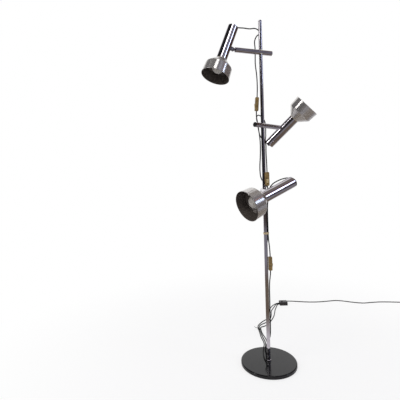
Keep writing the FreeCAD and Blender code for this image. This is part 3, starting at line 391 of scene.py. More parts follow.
def held_flat(profile, near=0.35):
    """The profile with a point close to both ends of each long run, so that the shading stays flat
    along it and turns only in the corners."""
    out = [profile[0]]
    for a, b in zip(profile, profile[1:]):
        a, b = Vector(a), Vector(b)
        long = (b - a).length
        if long > 6 * near:
            out += [tuple(a.lerp(b, near / long)), tuple(a.lerp(b, 1 - near / long))]
        out.append(tuple(b))
    return out


def lathe(shape, profile, mark=0, steps=96):
    """Turns an open profile of (r, z) points about the Z axis. U runs round, and V along the
    profile in metres."""
    profile = held_flat(profile)
    uv = shape.loops.layers.uv.get("UVMap") or shape.loops.layers.uv.new("UVMap")
    rings, run, last = [], 0.0, None
    for r, z in profile:
        run += math.dist((r, z), last) * MM if last else 0.0
        last = (r, z)
        count = 1 if r < 1e-6 else steps
        rings.append((run, [shape.verts.new((r * math.cos(2 * math.pi * k / steps),
                                             r * math.sin(2 * math.pi * k / steps), z))
                            for k in range(count)]))
    for (v0, low), (v1, up) in zip(rings, rings[1:]):
        for k in range(steps):
            j = k + 1
            corners = [(low[k % len(low)], k, v0), (low[j % len(low)], j, v0),
                       (up[j % len(up)], j, v1), (up[k % len(up)], k, v1)]
            ring = [c for i, c in enumerate(corners) if c[0] is not corners[i - 1][0]]
            if len(ring) < 3:
                continue
            face = shape.faces.new([c[0] for c in ring])
            face.material_index = mark
            for loop, (_, turn, v) in zip(face.loops, ring):
                loop[uv].uv = (turn / steps, v)


def turned(profile, mark=0, steps=96):
    """A new shape that is one turned profile, closed on itself where it doesn't meet the axis."""
    shape = bmesh.new()
    lathe(shape, profile, mark, steps)
    return shape


def block(low, high):
    shape = bmesh.new()
    bmesh.ops.create_cube(shape, size=1.0)
    low, high = Vector(low), Vector(high)
    for v in shape.verts:
        v.co = Vector((low[i] + (v.co[i] + 0.5) * (high[i] - low[i]) for i in range(3)))
    return shape


def slab(outline, low, high):
    """The outline's (x, z) points, from y = low to y = high."""
    shape = bmesh.new()
    near, far = ([shape.verts.new((x, y, z)) for x, z in outline] for y in (low, high))
    shape.faces.new(near)
    shape.faces.new(far[::-1])
    for i in range(len(outline)):
        shape.faces.new((near[i - 1], near[i], far[i], far[i - 1]))
    return shape


def added(name, data):
    """A new object in the scene."""
    made = bpy.data.objects.new(name, data)
    scene.collection.objects.link(made)
    return made


def as_seen(thing):
    """The object's mesh after its modifiers or bevel."""
    graph = bpy.context.evaluated_depsgraph_get()
    return bpy.data.meshes.new_from_object(thing.evaluated_get(graph))


def bar(shape, r, depth, place=None, segments=96, tip=None):
    """Adds a closed cylinder about Z, or a slight cone with its own tip radius."""
    bmesh.ops.create_cone(shape, cap_ends=True, segments=segments, radius1=r,
                          radius2=r if tip is None else tip, depth=depth,
                          matrix=place or Matrix())


def closed_mesh(name, shape):
    """The shape as a mesh in millimetres, with doubles merged and faces outwards."""
    bmesh.ops.remove_doubles(shape, verts=shape.verts[:], dist=1e-4)
    bmesh.ops.recalc_face_normals(shape, faces=shape.faces[:])
    mesh = bpy.data.meshes.new(name)
    shape.to_mesh(mesh)
    shape.free()
    return mesh


def worked(name, shape, cutters=(), edge=0.0, edge_steps=3):
    """The shape less its cutters, with the edges that are left rounded."""
    body = added(name, closed_mesh(name, shape))
    tools = []
    for cutter in cutters:
        tool = added("cutter", closed_mesh("cutter", cutter))
        tools.append(tool)
        cut = body.modifiers.new("cut", "BOOLEAN")
        cut.object, cut.operation, cut.solver = tool, "DIFFERENCE", "EXACT"
    if edge:
        round_off = body.modifiers.new("edge", "BEVEL")
        round_off.width, round_off.segments, round_off.limit_method = edge, edge_steps, "ANGLE"
        round_off.angle_limit = math.radians(35)
    made = as_seen(body)
    for o in tools + [body]:
        bpy.data.objects.remove(o)
    return made


def put(name, shape, place, body, finishes, nodes=(), smooth=35):
    """Places a shape or a mesh in metres, gives it its finishes, and rides it on its body."""
    mesh = shape if isinstance(shape, bpy.types.Mesh) else closed_mesh(name, shape)
    mesh.name = name
    mesh.transform(Matrix.Scale(MM, 4) @ place)
    if not mesh.materials:
        for finish in finishes:
            mesh.materials.append(FINISH[finish])
    mesh.shade_smooth()
    mesh.set_sharp_from_angle(angle=math.radians(smooth))
    piece = added(name, mesh)
    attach(piece, body)
    if nodes:
        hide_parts(*nodes)


def row_tree():
    """Repeats the piece that it is put on: Count of them, each Step from the one before."""
    tree = bpy.data.node_groups.new("row_of_pieces", "GeometryNodeTree")
    for name, kind in (("Piece", "Geometry"), ("Count", "Int"), ("Step", "Vector"),
                       ("Finish", "Material")):
        tree.interface.new_socket(name, in_out="INPUT", socket_type="NodeSocket" + kind)
    tree.interface.new_socket("Row", in_out="OUTPUT", socket_type="NodeSocketGeometry")
    given = node(tree, "NodeGroupInput").outputs
    line = node(tree, "GeometryNodeMeshLine", {"Count": given["Count"], "Offset": given["Step"]})
    copies = node(tree, "GeometryNodeInstanceOnPoints", {
        "Points": line.outputs[0], "Instance": given["Piece"]})
    real = node(tree, "GeometryNodeRealizeInstances", {"Geometry": copies.outputs[0]})
    painted = node(tree, "GeometryNodeSetMaterial", {
        "Geometry": real.outputs[0], "Material": given["Finish"]})
    node(tree, "NodeGroupOutput", {"Row": painted.outputs[0]})
    return tree


ROW = row_tree()


def row_of(name, shape, count, step, finish):
    """A mesh of the shape repeated in a row."""
    one = added(name, closed_mesh(name, shape))
    maker = one.modifiers.new("row", "NODES")
    maker.node_group = ROW
    sockets = {s.name: s.identifier for s in ROW.interface.items_tree if s.in_out == "INPUT"}
    maker[sockets["Count"]] = count
    maker[sockets["Step"]] = step
    maker[sockets["Finish"]] = FINISH[finish]
    made = as_seen(one)
    bpy.data.objects.remove(one)
    return made


# Foot and pole

def foot_and_pole():
    disc = rounded([(RECESS_R, RECESS_TOP), (RECESS_R, PAD_THICK), (FOOT_R, PAD_THICK, FOOT_LOWER_EDGE),
                    (FOOT_R, FOOT_TOP, FOOT_EDGE), (STUD_HOLE_R, FOOT_TOP),
                    (STUD_HOLE_R, RECESS_TOP), (RECESS_R, RECESS_TOP)], steps=8)
    put("foot", turned(disc, steps=192), Matrix(), "stand", ["black_lacquer"], ["base_disc"])

    lower = rounded([(POLE_BORE, 60), (POLE_BORE, FOOT_TOP), (POLE_R, FOOT_TOP),
                     (POLE_R, POLE_JOINT, 0.35), (SWAGE_R, POLE_JOINT),
                     (SWAGE_R, POLE_JOINT + SWAGE_LONG), (SWAGE_BORE, POLE_JOINT + SWAGE_LONG),
                     (SWAGE_BORE, POLE_JOINT), (POLE_BORE, POLE_JOINT - 3.6), (POLE_BORE, 60)])
    put("lower_pole", turned(lower, steps=64), Matrix(), "stand", ["chrome"], ["pole_lower"])
    cap_at = POLE_TOP - TOP_CAP_THICK
    upper = rounded([(POLE_BORE, 1300), (POLE_BORE, POLE_JOINT), (POLE_R, POLE_JOINT, 0.35),
                     (POLE_R, cap_at), (POLE_BORE, cap_at), (POLE_BORE, 1300)])
    put("upper_pole", turned(upper, steps=64), Matrix(), "stand", ["chrome"], ["pole_upper"])

    plug = [(0, POLE_TOP - TOP_CAP_LONG), (SWAGE_R, POLE_TOP - TOP_CAP_LONG), (SWAGE_R, cap_at)]
    trims = turned(rounded(plug + [(POLE_R, cap_at), (POLE_R, POLE_TOP, 1.2), (0, POLE_TOP)]),
                   steps=64)
    lathe(trims, band(RING_BORE, RING_R, FOOT_TOP, FOOT_TOP + RING_HIGH, top=(1.5,)),
          steps=64)
    put("pole_cap_and_collar", trims, Matrix(), "stand", ["chrome"], ["pole_trims"])


# Lamps

def cross_arm(n, lamp):
    place = arm_place(lamp)
    end = ARM_REACH - ARM_TO_PIVOT
    wall = rounded([(ARM_BORE, 0), (ARM_BORE, -ARM_FREE), (ARM_R, -ARM_FREE, 0.35)] +
                   [(ARM_R, z) for z in range(-44, 121, 4)] +
                   [(ARM_R, end, 0.25), (ARM_BORE, end), (ARM_BORE, 0)])
    hole = bmesh.new()
    bar(hole, ARM_HOLE_R, 30, segments=64)
    tube = turned(wall, steps=96)
    bmesh.ops.transform(tube, matrix=ALONG_X, verts=tube.verts)
    put("arm_%d" % n, worked("arm", tube, [hole]), place, "arm_%d" % n, ["chrome"],
        ["arm_tube_%d" % n], smooth=30)
    plug, back, tip = ARM_BORE - PUSH_FIT, end - NOSE_LONG, end + NOSE_TIP
    nose = turned(rounded([(STEM_HOLE_R, back), (plug, back), (plug, end), (ARM_R, end),
                           (ARM_R, end + 0.5, 0.3), (6, tip, 0.4), (STEM_HOLE_R, tip),
                           (STEM_HOLE_R, back)], steps=3), steps=64)
    lathe(nose, band(SEAT_HOLE_R, plug, SEAT_AT, SEAT_AT + SEAT_THICK), steps=48)
    put("arm_nose_%d" % n, nose, place @ ALONG_X, "arm_%d" % n, ["chrome"],
        ["arm_fittings_%d" % n])


def joint_parts(n, lamp):
    """The saddle with its ears, its pin and nut, and the nut inside the tube."""
    place = head_place(lamp)
    inner, outer = 3.05, 3.05 + EAR_THICK
    face, wall = EYE_R + 0.3, HEAD_OFFSET - TUBE_R + 3
    ears = [on_circle(EAR_R, a) for a in range(90, 271, 12)]
    outline = ears + [(face, -EAR_R), (face, -SADDLE_HALF), (wall, -SADDLE_HALF),
                      (wall, SADDLE_HALF), (face, SADDLE_HALF), (face, EAR_R)]
    tube = bmesh.new()
    bar(tube, TUBE_R + 0.02, 60, Matrix.Translation((HEAD_OFFSET, 0, 0)))
    saddle = worked("saddle", slab(outline, -outer, outer),
                    [block((-12, -inner, -12), (face, inner, 12)), tube], edge=0.6)
    shape = bmesh.new()
    shape.from_mesh(saddle)
    for low, high, r, segments in ((-outer - 1.85, -outer, 3.5, 32), (outer, outer + 2.2, 4.0, 6),
                                   (outer + 2.2, outer + 3, 2.0, 24)):
        bar(shape, r, high - low, Matrix.Translation((0, (low + high) / 2, 0)) @
            Matrix.Rotation(-math.pi / 2, 4, "X"), segments, r * 0.94)
    bar(shape, 5.1, 3, Matrix.Translation((14, 0, 0)) @ ALONG_X, 6)
    put("head_joint_%d" % n, shape, place, "head_%d" % n, ["dark_joint"], ["head_bracket_%d" % n])


def grip_spring(n, lamp):
    """The spring behind the button's plunger, as one still coil of wire."""
    r, start, long = (SPRING_DIA - SPRING_WIRE) / 2, SPRING_AT + SPRING_WIRE / 2, SPRING_LONG
    place = Matrix.Scale(MM, 4) @ arm_place(lamp)
    steps = 32 * SPRING_TURNS
    turns = [(start + (long - SPRING_WIRE) * k / steps, 2 * math.pi * k / 32)
             for k in range(steps + 1)]
    line = [place @ Vector((x, r * math.cos(a), r * math.sin(a))) for x, a in turns]
    name = "button_spring_%d" % n
    piece = added(name, closed_metres(name, sleeve(line, SPRING_WIRE / 2, 12), "steel"))
    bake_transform(piece)
    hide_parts("grip_spring_%d" % n)


def bell_profiles():
    """The outside, from the lip to the rim's bead, and the inside, back to the lip."""
    t, back = BELL_WALL, TUBE_FRONT - BELL_COLLAR
    collar, lip, bead = TUBE_BORE - PUSH_FIT, 19.5, 0.9
    shoulder = TUBE_FRONT + BELL_CONE
    skirt = [(SHOULDER_R + (RIM_R - SHOULDER_R) * s, shoulder + (BELL_SKIRT - 2 * bead) * s)
             for s in (0.3, 0.6, 0.85, 1.0)]
    rim = [(RIM_R + x, RIM_AT - bead + z)
           for x, z in (on_circle(bead, a) for a in range(-60, 91, 30))]
    outside = rounded([(lip, back), (collar, back), (collar, TUBE_FRONT), (NECK_R, TUBE_FRONT),
                       (SHOULDER_R, shoulder, 7.0)] + skirt + rim, steps=10)
    inside = rounded([(RIM_R, RIM_AT), (RIM_R - t, RIM_AT - 0.3), (SHOULDER_R - t, shoulder + 0.9, 6.0),
                      (NECK_R - 1.2, TUBE_FRONT + 1.4, 2.0), (collar - t, TUBE_FRONT - 1),
                      (collar - t, back + t), (lip, back + t), (lip, back)], steps=8)
    return outside, inside


def spot_head(n, lamp):
    place, body = tube_place(lamp), "head_%d" % n
    ring_at = TUBE_FRONT - NECK_RING
    wall = rounded([(TUBE_BORE, 0), (TUBE_BORE, -TUBE_BACK), (TUBE_R, -TUBE_BACK, 0.4),
                    (TUBE_R, ring_at, 0.3), (TUBE_BORE, ring_at), (TUBE_BORE, 0)])
    put("spot_tube_%d" % n, turned(wall, steps=128), place, body, ["chrome"], ["head_tube_%d" % n])

    outside, inside = bell_profiles()
    bell = turned(outside, 0, 160)
    lathe(bell, inside, 1, 160)
    put("bell_%d" % n, bell, place, body, ["spun_aluminium", "bell_inside"], ["head_bell_%d" % n])

    r = TUBE_BORE - PUSH_FIT
    inner, deep, skirt = r - CAP_WALL, CAP_AT + CAP_THICK, CAP_AT + CAP_SKIRT
    cap = turned(rounded([(0, deep), (inner, deep), (inner, skirt), (r, skirt), (r, CAP_AT, 0.5),
                          (HUB_R, CAP_AT, 0.6), (HUB_R, HUB_TOP, 2.0), (0, HUB_TOP)], steps=6),
                 steps=96)
    put("rear_cap_%d" % n, cap, place, body, ["black_plastic"], ["head_cap_%d" % n])

    h, back, lip, front = HOLDER_R, HOLDER_BACK, TUBE_FRONT - BELL_COLLAR, HOLDER_FRONT
    floor = RIM_AT - BULB_RECESS - BULB_LONG - 0.3
    holder = turned(rounded([
        (0, back), (12, back, 1.5), (h, back + 9, 1.5), (h, lip - 4), (h + 2, lip - 4, 0.5),
        (h + 2, lip), (h, lip), (h, front, 0.5), (15.5, front, 0.4), (13.6, front - 3),
        (13.6, floor), (0, floor)], steps=3))
    lathe(holder, band(h + PUSH_FIT, h + 1.9, front - 4, front, top=(0.4,)))
    lathe(holder, band(TUBE_BORE, TUBE_R + 0.6, ring_at, TUBE_FRONT, (0.3,), (0.3,), steps=3))
    lathe(holder, [(0, HUB_BORE), (CORD_R, HUB_BORE), (CORD_R, back), (0, back)], 1, 24)
    put("bulb_holder_%d" % n, holder, place, body, ["cream_plastic", "black_cord"],
        ["lamp_holder_%d" % n])

    tip = RIM_AT - BULB_RECESS
    centre, foot = tip - BULB_R, tip - BULB_LONG + 25
    ball = [(x, centre + z) for x, z in (on_circle(BULB_R, a) for a in range(-38, 90, 8))]
    waist = [(12.5, foot), (BULB_NECK_R, foot + 9), (14.2, foot + 15), (16.6, foot + 22),
             (20.0, foot + 28.5)]
    put("bulb_%d" % n, turned([(0, foot)] + waist + ball + [(0, tip)], steps=96), place, body,
        ["frosted_glass"], ["bulb_glass_%d" % n], smooth=60)


# Switches

def rocker_switch(n):
    """A switch in two shells, each with a screw, and its rocker with grip ridges."""
    half, wide, deep = SWITCH_LONG / 2, SWITCH_WIDE / 2, SWITCH_DEEP / 2
    place = switch_place(n)
    shell = block((-deep, -wide, -half), (deep, wide, half))
    lengthwise = [e for e in shell.edges if abs(e.verts[0].co.x - e.verts[1].co.x) > deep]
    bmesh.ops.bevel(shell, geom=lengthwise, offset=5, segments=8, affect="EDGES", profile=0.5)
    ends = [f for f in shell.faces if abs(f.normal.x) > 0.9]
    rims = list({e for f in ends for e in f.edges})
    bmesh.ops.bevel(shell, geom=rims, offset=3, segments=5, affect="EDGES", profile=0.5)
    long, w, gap = ROCKER_LONG / 2, ROCKER_WIDE / 2, 0.5
    bottom, top = -ROCKER_DOWN - long, -ROCKER_DOWN + long
    pocket = block((deep - ROCKER_POCKET, -w - gap, bottom - 1), (deep + 5, w + gap, top + 1))
    seam = block((-0.12, -wide - 1, -half - 1), (0.12, wide + 1, half + 1))
    entries = bmesh.new()
    for way in (-1, 1):
        bar(entries, CORD_R + 0.3, 2 * SWITCH_ENTRY, Matrix.Translation((0, 0, way * half)), 32)
    mesh = worked("switch", shell, [pocket, seam, entries], edge=0.15, edge_steps=2)
    put("switch_%d" % n, mesh, place, "stand", ["bronze_plastic"],
        ["switch_shells"] if n == 1 else [])

    screw = turned(rounded([(0, -0.8), (2.1, -0.8), (2.1, 0.1, 0.25), (0, 0.25)], steps=3), steps=24)
    sunk = Matrix.Translation((-deep + 0.15, 0, -21)) @ Matrix.Rotation(-math.pi / 2, 4, "Y")
    put("switch_screws_%d" % n, row_of("screws", screw, 2, (42, 0, 0), "steel"), place @ sunk,
        "stand", ["steel"])

    side = [(deep + 0.4, bottom), (deep + ROCKER_PROUD, top), (deep - 1.2, top),
            (deep - 3.4, -ROCKER_DOWN + 2), (deep - 3.4, -ROCKER_DOWN - 2), (deep - 3.0, bottom)]
    body = worked("rocker", slab(side, -w, w), edge=0.5)
    put("rocker_%d" % n, body, place, "rocker_%d" % n, ["pale_plastic"],
        ["switch_rocker_%d" % n])
    rib = bmesh.new()
    bar(rib, 0.42, ROCKER_WIDE - 2.4, Matrix.Rotation(math.pi / 2, 4, "X"), 12)
    slope = (ROCKER_PROUD - 0.4) / ROCKER_LONG
    first = Matrix.Translation((deep + 0.3 + 2.5 * slope, 0, bottom + 2.5))
    put("rocker_ridges_%d" % n,
        row_of("ridges", rib, 6, (1.5 * slope, 0, 1.5), "pale_plastic"), place @ first,
        "rocker_%d" % n, ["pale_plastic"])


# Cords: the routes of the part's source

def into_switch(number, way):
    return [switch_end(number, way, 10), switch_end(number, way, 0.5 - SWITCH_ENTRY)]


def route(points):
    """One smooth line with these control points, as a curve in metres."""
    curve = bpy.data.curves.new("route", "CURVE")
    curve.dimensions, curve.resolution_u = "3D", 12
    line = curve.splines.new("NURBS")
    line.points.add(len(points) - 1)
    for at, p in zip(line.points, points):
        at.co = (*(Vector(p) * MM), 1)
    line.order_u = 3
    line.use_endpoint_u = True
    return curve


def length_of(points):
    return sum(math.dist(a, b) for a, b in zip(points, points[1:]))


def cord_line(points):
    """The points in metres that the smooth line passes."""
    holder = added("line", route(points))
    mesh = as_seen(holder)
    line = [v.co.copy() for v in mesh.vertices]
    bpy.data.objects.remove(holder)
    bpy.data.meshes.remove(mesh)
    return line


def still_cord(name, points, r, finish, nodes, **facts):
    """A cord that no joint moves: a curve with its thickness, riding on the stand."""
    curve = route(points)
    curve.bevel_depth, curve.bevel_resolution, curve.use_fill_caps = r * MM, 4, True
    curve.materials.append(FINISH[finish])
    cord = added(name, curve)
    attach(cord, "stand")
    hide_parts(*nodes)
    length_of(cord_line(points))


def sleeve(line, r, sides=16):
    """A closed tube of radius r millimetres round the line, with U round it and V along it."""
    shape = bmesh.new()
    uv = shape.loops.layers.uv.new("UVMap")
    across, rings, run = None, [], 0.0
    for i, at in enumerate(line):
        ahead = (line[min(i + 1, len(line) - 1)] - line[max(i - 1, 0)]).normalized()
        if across is None:
            across = ahead.orthogonal().normalized()
        across = (across - ahead * across.dot(ahead)).normalized()
        other = ahead.cross(across)
        run += (at - line[i - 1]).length if i else 0.0
        angles = [2 * math.pi * k / sides for k in range(sides)]
        rings.append((run, [
            shape.verts.new(at + (across * math.cos(a) + other * math.sin(a)) * r * MM)
            for a in angles]))
    for (v0, low), (v1, up) in zip(rings, rings[1:]):
        for k in range(sides):
            j = (k + 1) % sides
            face = shape.faces.new((low[k], low[j], up[j], up[k]))
            for loop, place in zip(face.loops, ((k, v0), (k + 1, v0), (k + 1, v1), (k, v1))):
                loop[uv].uv = (place[0] / sides, place[1])
    shape.faces.new(rings[0][1][::-1])
    shape.faces.new(rings[-1][1])
    return shape


def down_to(line, height):
    """The length of the line from its start to the last of it that is above a height."""
    last = max(i for i, at in enumerate(line) if at.z > height * MM)
    return length_of(line[:last + 1])


def bending_cord(name, line, stages, nodes):
    """A cord in pieces that each end at a length along it. A piece whose two bodies are one rides
    on that body; one between two bodies stays where it lies."""
    first = 0
    for step, (end, a, b) in enumerate(stages):
        last, run = first, length_of(line[:first + 1])
        while last < len(line) - 1 and (end is None or run < end):
            run += (line[last + 1] - line[last]).length
            last += 1
        part = line[first:last + 1]
        piece_name = "%s_%d" % (name, step + 1)
        piece = added(piece_name, closed_metres(piece_name, sleeve(part, CORD_R), "black_cord"))
        if a == b:
            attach(piece, a)
        else:
            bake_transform(piece)
        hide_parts(*nodes)
        first = last


def closed_metres(name, shape, finish):
    """A shape that is in metres already, as a mesh with its finish."""
    bmesh.ops.recalc_face_normals(shape, faces=shape.faces[:])
    mesh = bpy.data.meshes.new(name)
    shape.to_mesh(mesh)
    shape.free()
    mesh.shade_smooth()
    mesh.set_sharp_from_angle(angle=math.radians(50))
    mesh.materials.append(FINISH[finish])
    return mesh


def head_cords():
    """From each cap to that lamp's switch, over or round its own arm."""
    routes = {
        1: [(-77, -22, 1508.5), (-47.5, -7, 1509), (-22, 8, 1519.5), (-1.5, 15, 1511),
            (-1.5, 15, 1494), (-16, 13.5, 1484), (-25.5, 13, 1460), (-22, 14.2, 1430),
            (-22.8, 13.5, 1395), (-24.5, 11, 1355), (-19.5, 7, 1310), (-18.5, 3, 1255)],
        2: [(37, 120, 1040), (30, 88, 1050), (24.5, 57, 1062), (22.7, 44.5, 1084),
            (15, 36, 1108), (-3, 25, 1123), (-17, 17, 1127.5), (-25, 14.5, 1117), (-23, 15.5, 1101),
            (-17.5, 19.5, 1083), (-15, 20.5, 1060), (-12.3, 18.8, 1038), (-3, 16.5, 1019),
            (10, 13.5, 1007), (14.5, 6.5, 990), (11.5, -2, 962), (11.3, -6.5, 929),
            (11.2, -12, 905)],
        3: [(113, -113, 805.5), (114, -108, 822), (104, -103, 835), (88, -94, 839), (66, -76, 835),
            (44, -54, 824), (30, -38, 813), (22, -28, 801), (19.8, -18, 788), (20.5, -8.5, 771),
            (18.5, -4, 750), (13, -3.2, 730), (11.2, -3, 700), (11, -3.3, 660), (11.2, -2.8, 620),
            (11, -3.1, 590), (12, -2.7, 566), (14, -3.3, 545), (16.5, -2.8, 520)],
    }
    # The shares of the length at which the pieces across the tilt and the roll end, and the heights
    # at which the piece on the arm and the piece across its slide end.
    bends = {1: (0.1, 0.22, 1385, 1348), 2: (0.2, 0.38, 1060, 1024), 3: (0.2, 0.33, 768, 734)}
    for n, points in routes.items():
        start = [cord_outlet(n, CORD_R + 0.3), cord_outlet(n, LAMPS[n]["run"])]
        line = cord_line(start + points + into_switch(n, 1))
        tilt, roll, high, low = bends[n]
        head, knuckle, arm, slider = ("%s_%d" % (b, n) for b in ("head", "knuckle", "arm", "slider"))
        bending_cord("lamp_cord_%d" % n, line, [
            (tilt * length_of(line), head, knuckle), (roll * length_of(line), knuckle, arm),
            (down_to(line, high), arm, arm), (down_to(line, low), arm, slider),
            (None, slider, "stand")], ["cord_%d_head" % n])


def stages(line, bodies, heights):
    """The stages of a cord down the pole: the bodies between which each bends, and the heights
    at which they change."""
    ends = [down_to(line, z) for z in heights] + [None]
    return list(zip(ends, bodies, bodies[1:]))


def wavering(first, second, heights):
    """Points down the pole that step between two places by turns, as a hanging cord does."""
    return [((first, second)[i % 2] + (z,)) for i, z in enumerate(heights)]


def cords_to_box():
    """From each switch down the pole, over the foot's back edge and along the floor to the box.
    Cords 1 and 2 pass the tie on the pole, and all three the cable tie on the floor."""
    f = FLOOR_RUN
    one = into_switch(1, -1)[::-1] + [
        (-26, 4, 1112), (-21, 11, 1095), (-19, 13.8, 1073), (-14.5, 13.2, 1047), (-11.5, 11.5, 1018),
        (-11.5, 5.5, 985), (-13.5, 1, 940), (-17.5, 0.5, 895), (-17, 2, 860), (-12, 9, 838),
        (-2, 15, 822), (10, 15, 808), (18, 10, 792), (20.8, 6.8, 771), (18, 7.8, 748),
        (11.5, 9.2, 725), (9.2, 9.3, 690), (9, 9, 650), (9.4, 8.8, 615), (9, 9, 590), (6, 11, 566),
        (0, 12.4, 545), (-3.3, 12.1, 515),
        *wavering((-3.1, 11.7), (-3.5, 12.1), range(470, 169, -50)), (-3.4, 12, 125),
        (-3.1, 11.8, 88), (-3.3, 13.5, 58), (-3.5, 22, 34), (-3, 40, 20.5), (-1, 65, 18.9),
        (3, 92, 19), (8.5, 121, 20.7), (14, 150, 3), (20, 178, f), (21.5, 205, f), (18.5, 245, f),
        (17.4, 285, f), (18, 315, 3.2), (17.7, 341, TIE_LIFT), (20, 364, 3.2), (27, 385, f),
        (44, 402, f), (62.5, 415.5, f), (78, 430, f), (98, 458, f), (113, 492, f), (124, 532, f),
        (131, 576, f), (145, 608, f), (163, 640, f), (175, 666, 2.8), (187, 684, 4.6),
        (201, 690, ENTRY_UP), (216.5, 690, ENTRY_UP)]
    two = [switch_end(2, -1, 0.5 - SWITCH_ENTRY), switch_end(2, -1, 5.5),
           (15, -10, 787), (20, -2, 775), (20.5, 0.3, 758), (16, 2.3, 738), (11.5, 3, 715),
           (11.2, 3.2, 680), (11, 2.8, 645), (11.2, 3.2, 612), (11, 3, 590), (10.5, 6.5, 566),
           (7.5, 10.2, 542), (3.7, 12.2, 515), (3.4, 11.7, 470),
           *wavering((3.1, 12.1), (3.5, 11.7), range(420, 169, -50)), (3.1, 12, 125),
           (3.4, 11.8, 88), (3.6, 13.5, 58), (4, 22, 34), (5, 40, 20.5), (8, 65, 18.9),
           (11.5, 92, 19), (15.5, 121, 20.7), (22, 150, 3), (29, 178, f), (31, 212, f),
           (29.5, 245, f), (25, 270, f), (23.3, 294, f), (23.9, 318, 3.2), (23.5, 341, TIE_LIFT),
           (27, 361, 3.2), (42, 370, f), (57, 378, f), (70, 392, f), (88, 418, f), (106, 447, f),
           (121, 478, f), (136, 512, f), (149, 556, f), (163, 606, f), (180, 645, 2.8),
           (189, 669, 4.4), (201, 682, ENTRY_UP), (216.5, 682, ENTRY_UP)]
    three = into_switch(3, -1)[::-1] + [
        (15.5, -1.5, 392), (12.8, 0.8, 370), (11.6, 2.6, 335), (11.9, 2, 290), (11.5, 2.8, 245),
        (11.8, 2.2, 200), (11.9, 3.5, 160), (11.5, 8.5, 124), (7, 17, 102), (-1.5, 19.5, 84),
        (-11, 15.5, 67), (-15, 5, 56), (-13.2, -8, 48), (-13, -15.5, 36), (-14.2, -16, 19.6),
        (-16.5, 2, 18.7), (-17.5, 22, 18.8), (-15.5, 50, 18.8), (-10, 82, 18.9), (1, 121, 20.7),
        (6, 150, 3), (13, 178, f), (13.5, 205, f), (9.5, 245, f), (11.2, 285, f), (12.1, 315, 3.2),
        (11.9, 341, TIE_LIFT), (12.7, 364, 3.2), (19, 388, f), (33, 410, f), (48, 431, f),
        (65, 448.6, f), (83, 466, f), (97, 494, f), (107, 528, f), (115, 565, f), (127, 603, f),
        (143, 640, f), (160, 668, 2.8), (181, 690, 4.6), (200, 698, ENTRY_UP),
        (216.5, 698, ENTRY_UP)]
    one, two = cord_line(one), cord_line(two)
    both = ["cord_runs_upper", "cord_runs_lower"]
    # Past the lowest arm they move with its slide, and the first also with its turn.
    bending_cord("cord_1_to_box", one, stages(
        one, ["stand", "stand", "slider_3", "arm_3", "arm_3", "slider_3", "stand", "stand"],
        (876, 840, 800, 764, 726, 612)), both)
    bending_cord("cord_2_to_box", two, stages(
        two, ["stand", "slider_3", "slider_3", "stand", "stand"],
        (764, 722, 612)), both)
    still_cord("cord_3_to_box", three, CORD_R, "black_cord", ["cord_runs_lower"], far_end="object",
               stiffness="limp", lay="loose")


def coil_place(t):
    """In on the floor from the outer turn, up at the inner turn, and out again on top."""
    u = (t - 0.5) * 2 * COIL_TURNS
    r = COIL_INNER_R + COIL_STEP * (math.sqrt(u * u + 0.0144) - 0.12)
    s = min(max(u * 2 + 0.5, 0.0), 1.0)
    a = 2 * math.pi * (t * 2 * COIL_TURNS - 0.25)
    return Vector((COIL_AT[0] + r * math.cos(a), COIL_AT[1] + r * math.sin(a),
                   MAINS_R + 0.1 + COIL_STEP * s * s * (3 - 2 * s)))


def mains_lead(plug):
    """From the box to the right and out of view, round the coil, and into the plug."""
    f = MAINS_R + 0.1
    points = [(247, 702.5, 8), (247, 719, 8), (255, 734.5, 4.6), (281, 739, f), (318, 733, f),
              (356, 723, f), (408, 712, f), (476.6, 709, f), (550.6, 721.5, f), (598.6, 729, f),
              (643.6, 711, f), (677.7, 693, f), (744.6, 667, f), (800, 677, f), (863.6, 683, f),
              (930, 676, f), (985, 668, f)]
    start, end = coil_place(0.0), coil_place(1.0)
    arrive = (coil_place(0.001) - start).normalized()
    leave = (end - coil_place(0.999)).normalized()
    side = Vector((-leave.y, leave.x, 0))
    turns = [coil_place(i / (28 * COIL_TURNS)) for i in range(28 * COIL_TURNS + 1)]
    plug_end = Vector((*PLUG_AT, PLUG_R))
    points += [start - arrive * 42] + turns + [
        end + leave * 16, end + leave * 36 - side * 2 + UP * 5, plug_end - PLUG_WAY * 18,
        plug_end + PLUG_WAY * 4]
    still_cord("mains_lead", [tuple(p) for p in points], MAINS_R, "grey_cord",
               ["mains_cord", "mains_coil"], far_end="plug", stiffness="medium", lay="coiled",
               with_pieces=[plug])


def plug_ribs():
    """The grip ribs on the plug's sleeve, which rides with the plug."""
    ring = turned([(r, z) for r, z in ((4.2, -0.6), (5.0, -0.6), (5.35, 0), (5.0, 0.6), (4.2, 0.6),
                                       (4.2, -0.6))], steps=32)
    place = axes((*PLUG_AT, PLUG_R), Vector((PLUG_WAY.y, -PLUG_WAY.x, 0)) * -1, PLUG_WAY)
    put("plug_sleeve_ribs", row_of("ribs", ring, 8, (0, 0, 2.4), "dark_box"),
        place @ Matrix.Translation((0, 0, 3)), "stand", ["dark_box"])


# The room: a pale floor, a white backdrop, and soft light from large lamps

# The room that the metal mirrors: a few plain surfaces.
WHITE, DAYLIGHT, DIM, PLASTER, PALE = "#ffffff", "#d0e0ff", "#2a2a2c", "#666675", "#9999a8"
WOOD, CEILING, CURTAIN, LIT_BOARDS, RUG, FAR_BOARDS = (
    "#55443c", "#88807a", "#a06050", "#7a6e60", "#909098", "#4c4440")
# The walls by direction in degrees, 0 towards the camera and 90 to the right: the white sweep
# behind, an unlit side, a plastered wall and a wooden one.
WALLS = [(-180, WHITE), (-150, WHITE), (-138, DIM), (0, DIM), (26, PLASTER), (58, PLASTER),
         (85, WOOD), (130, WOOD), (152, WHITE), (180, WHITE)]
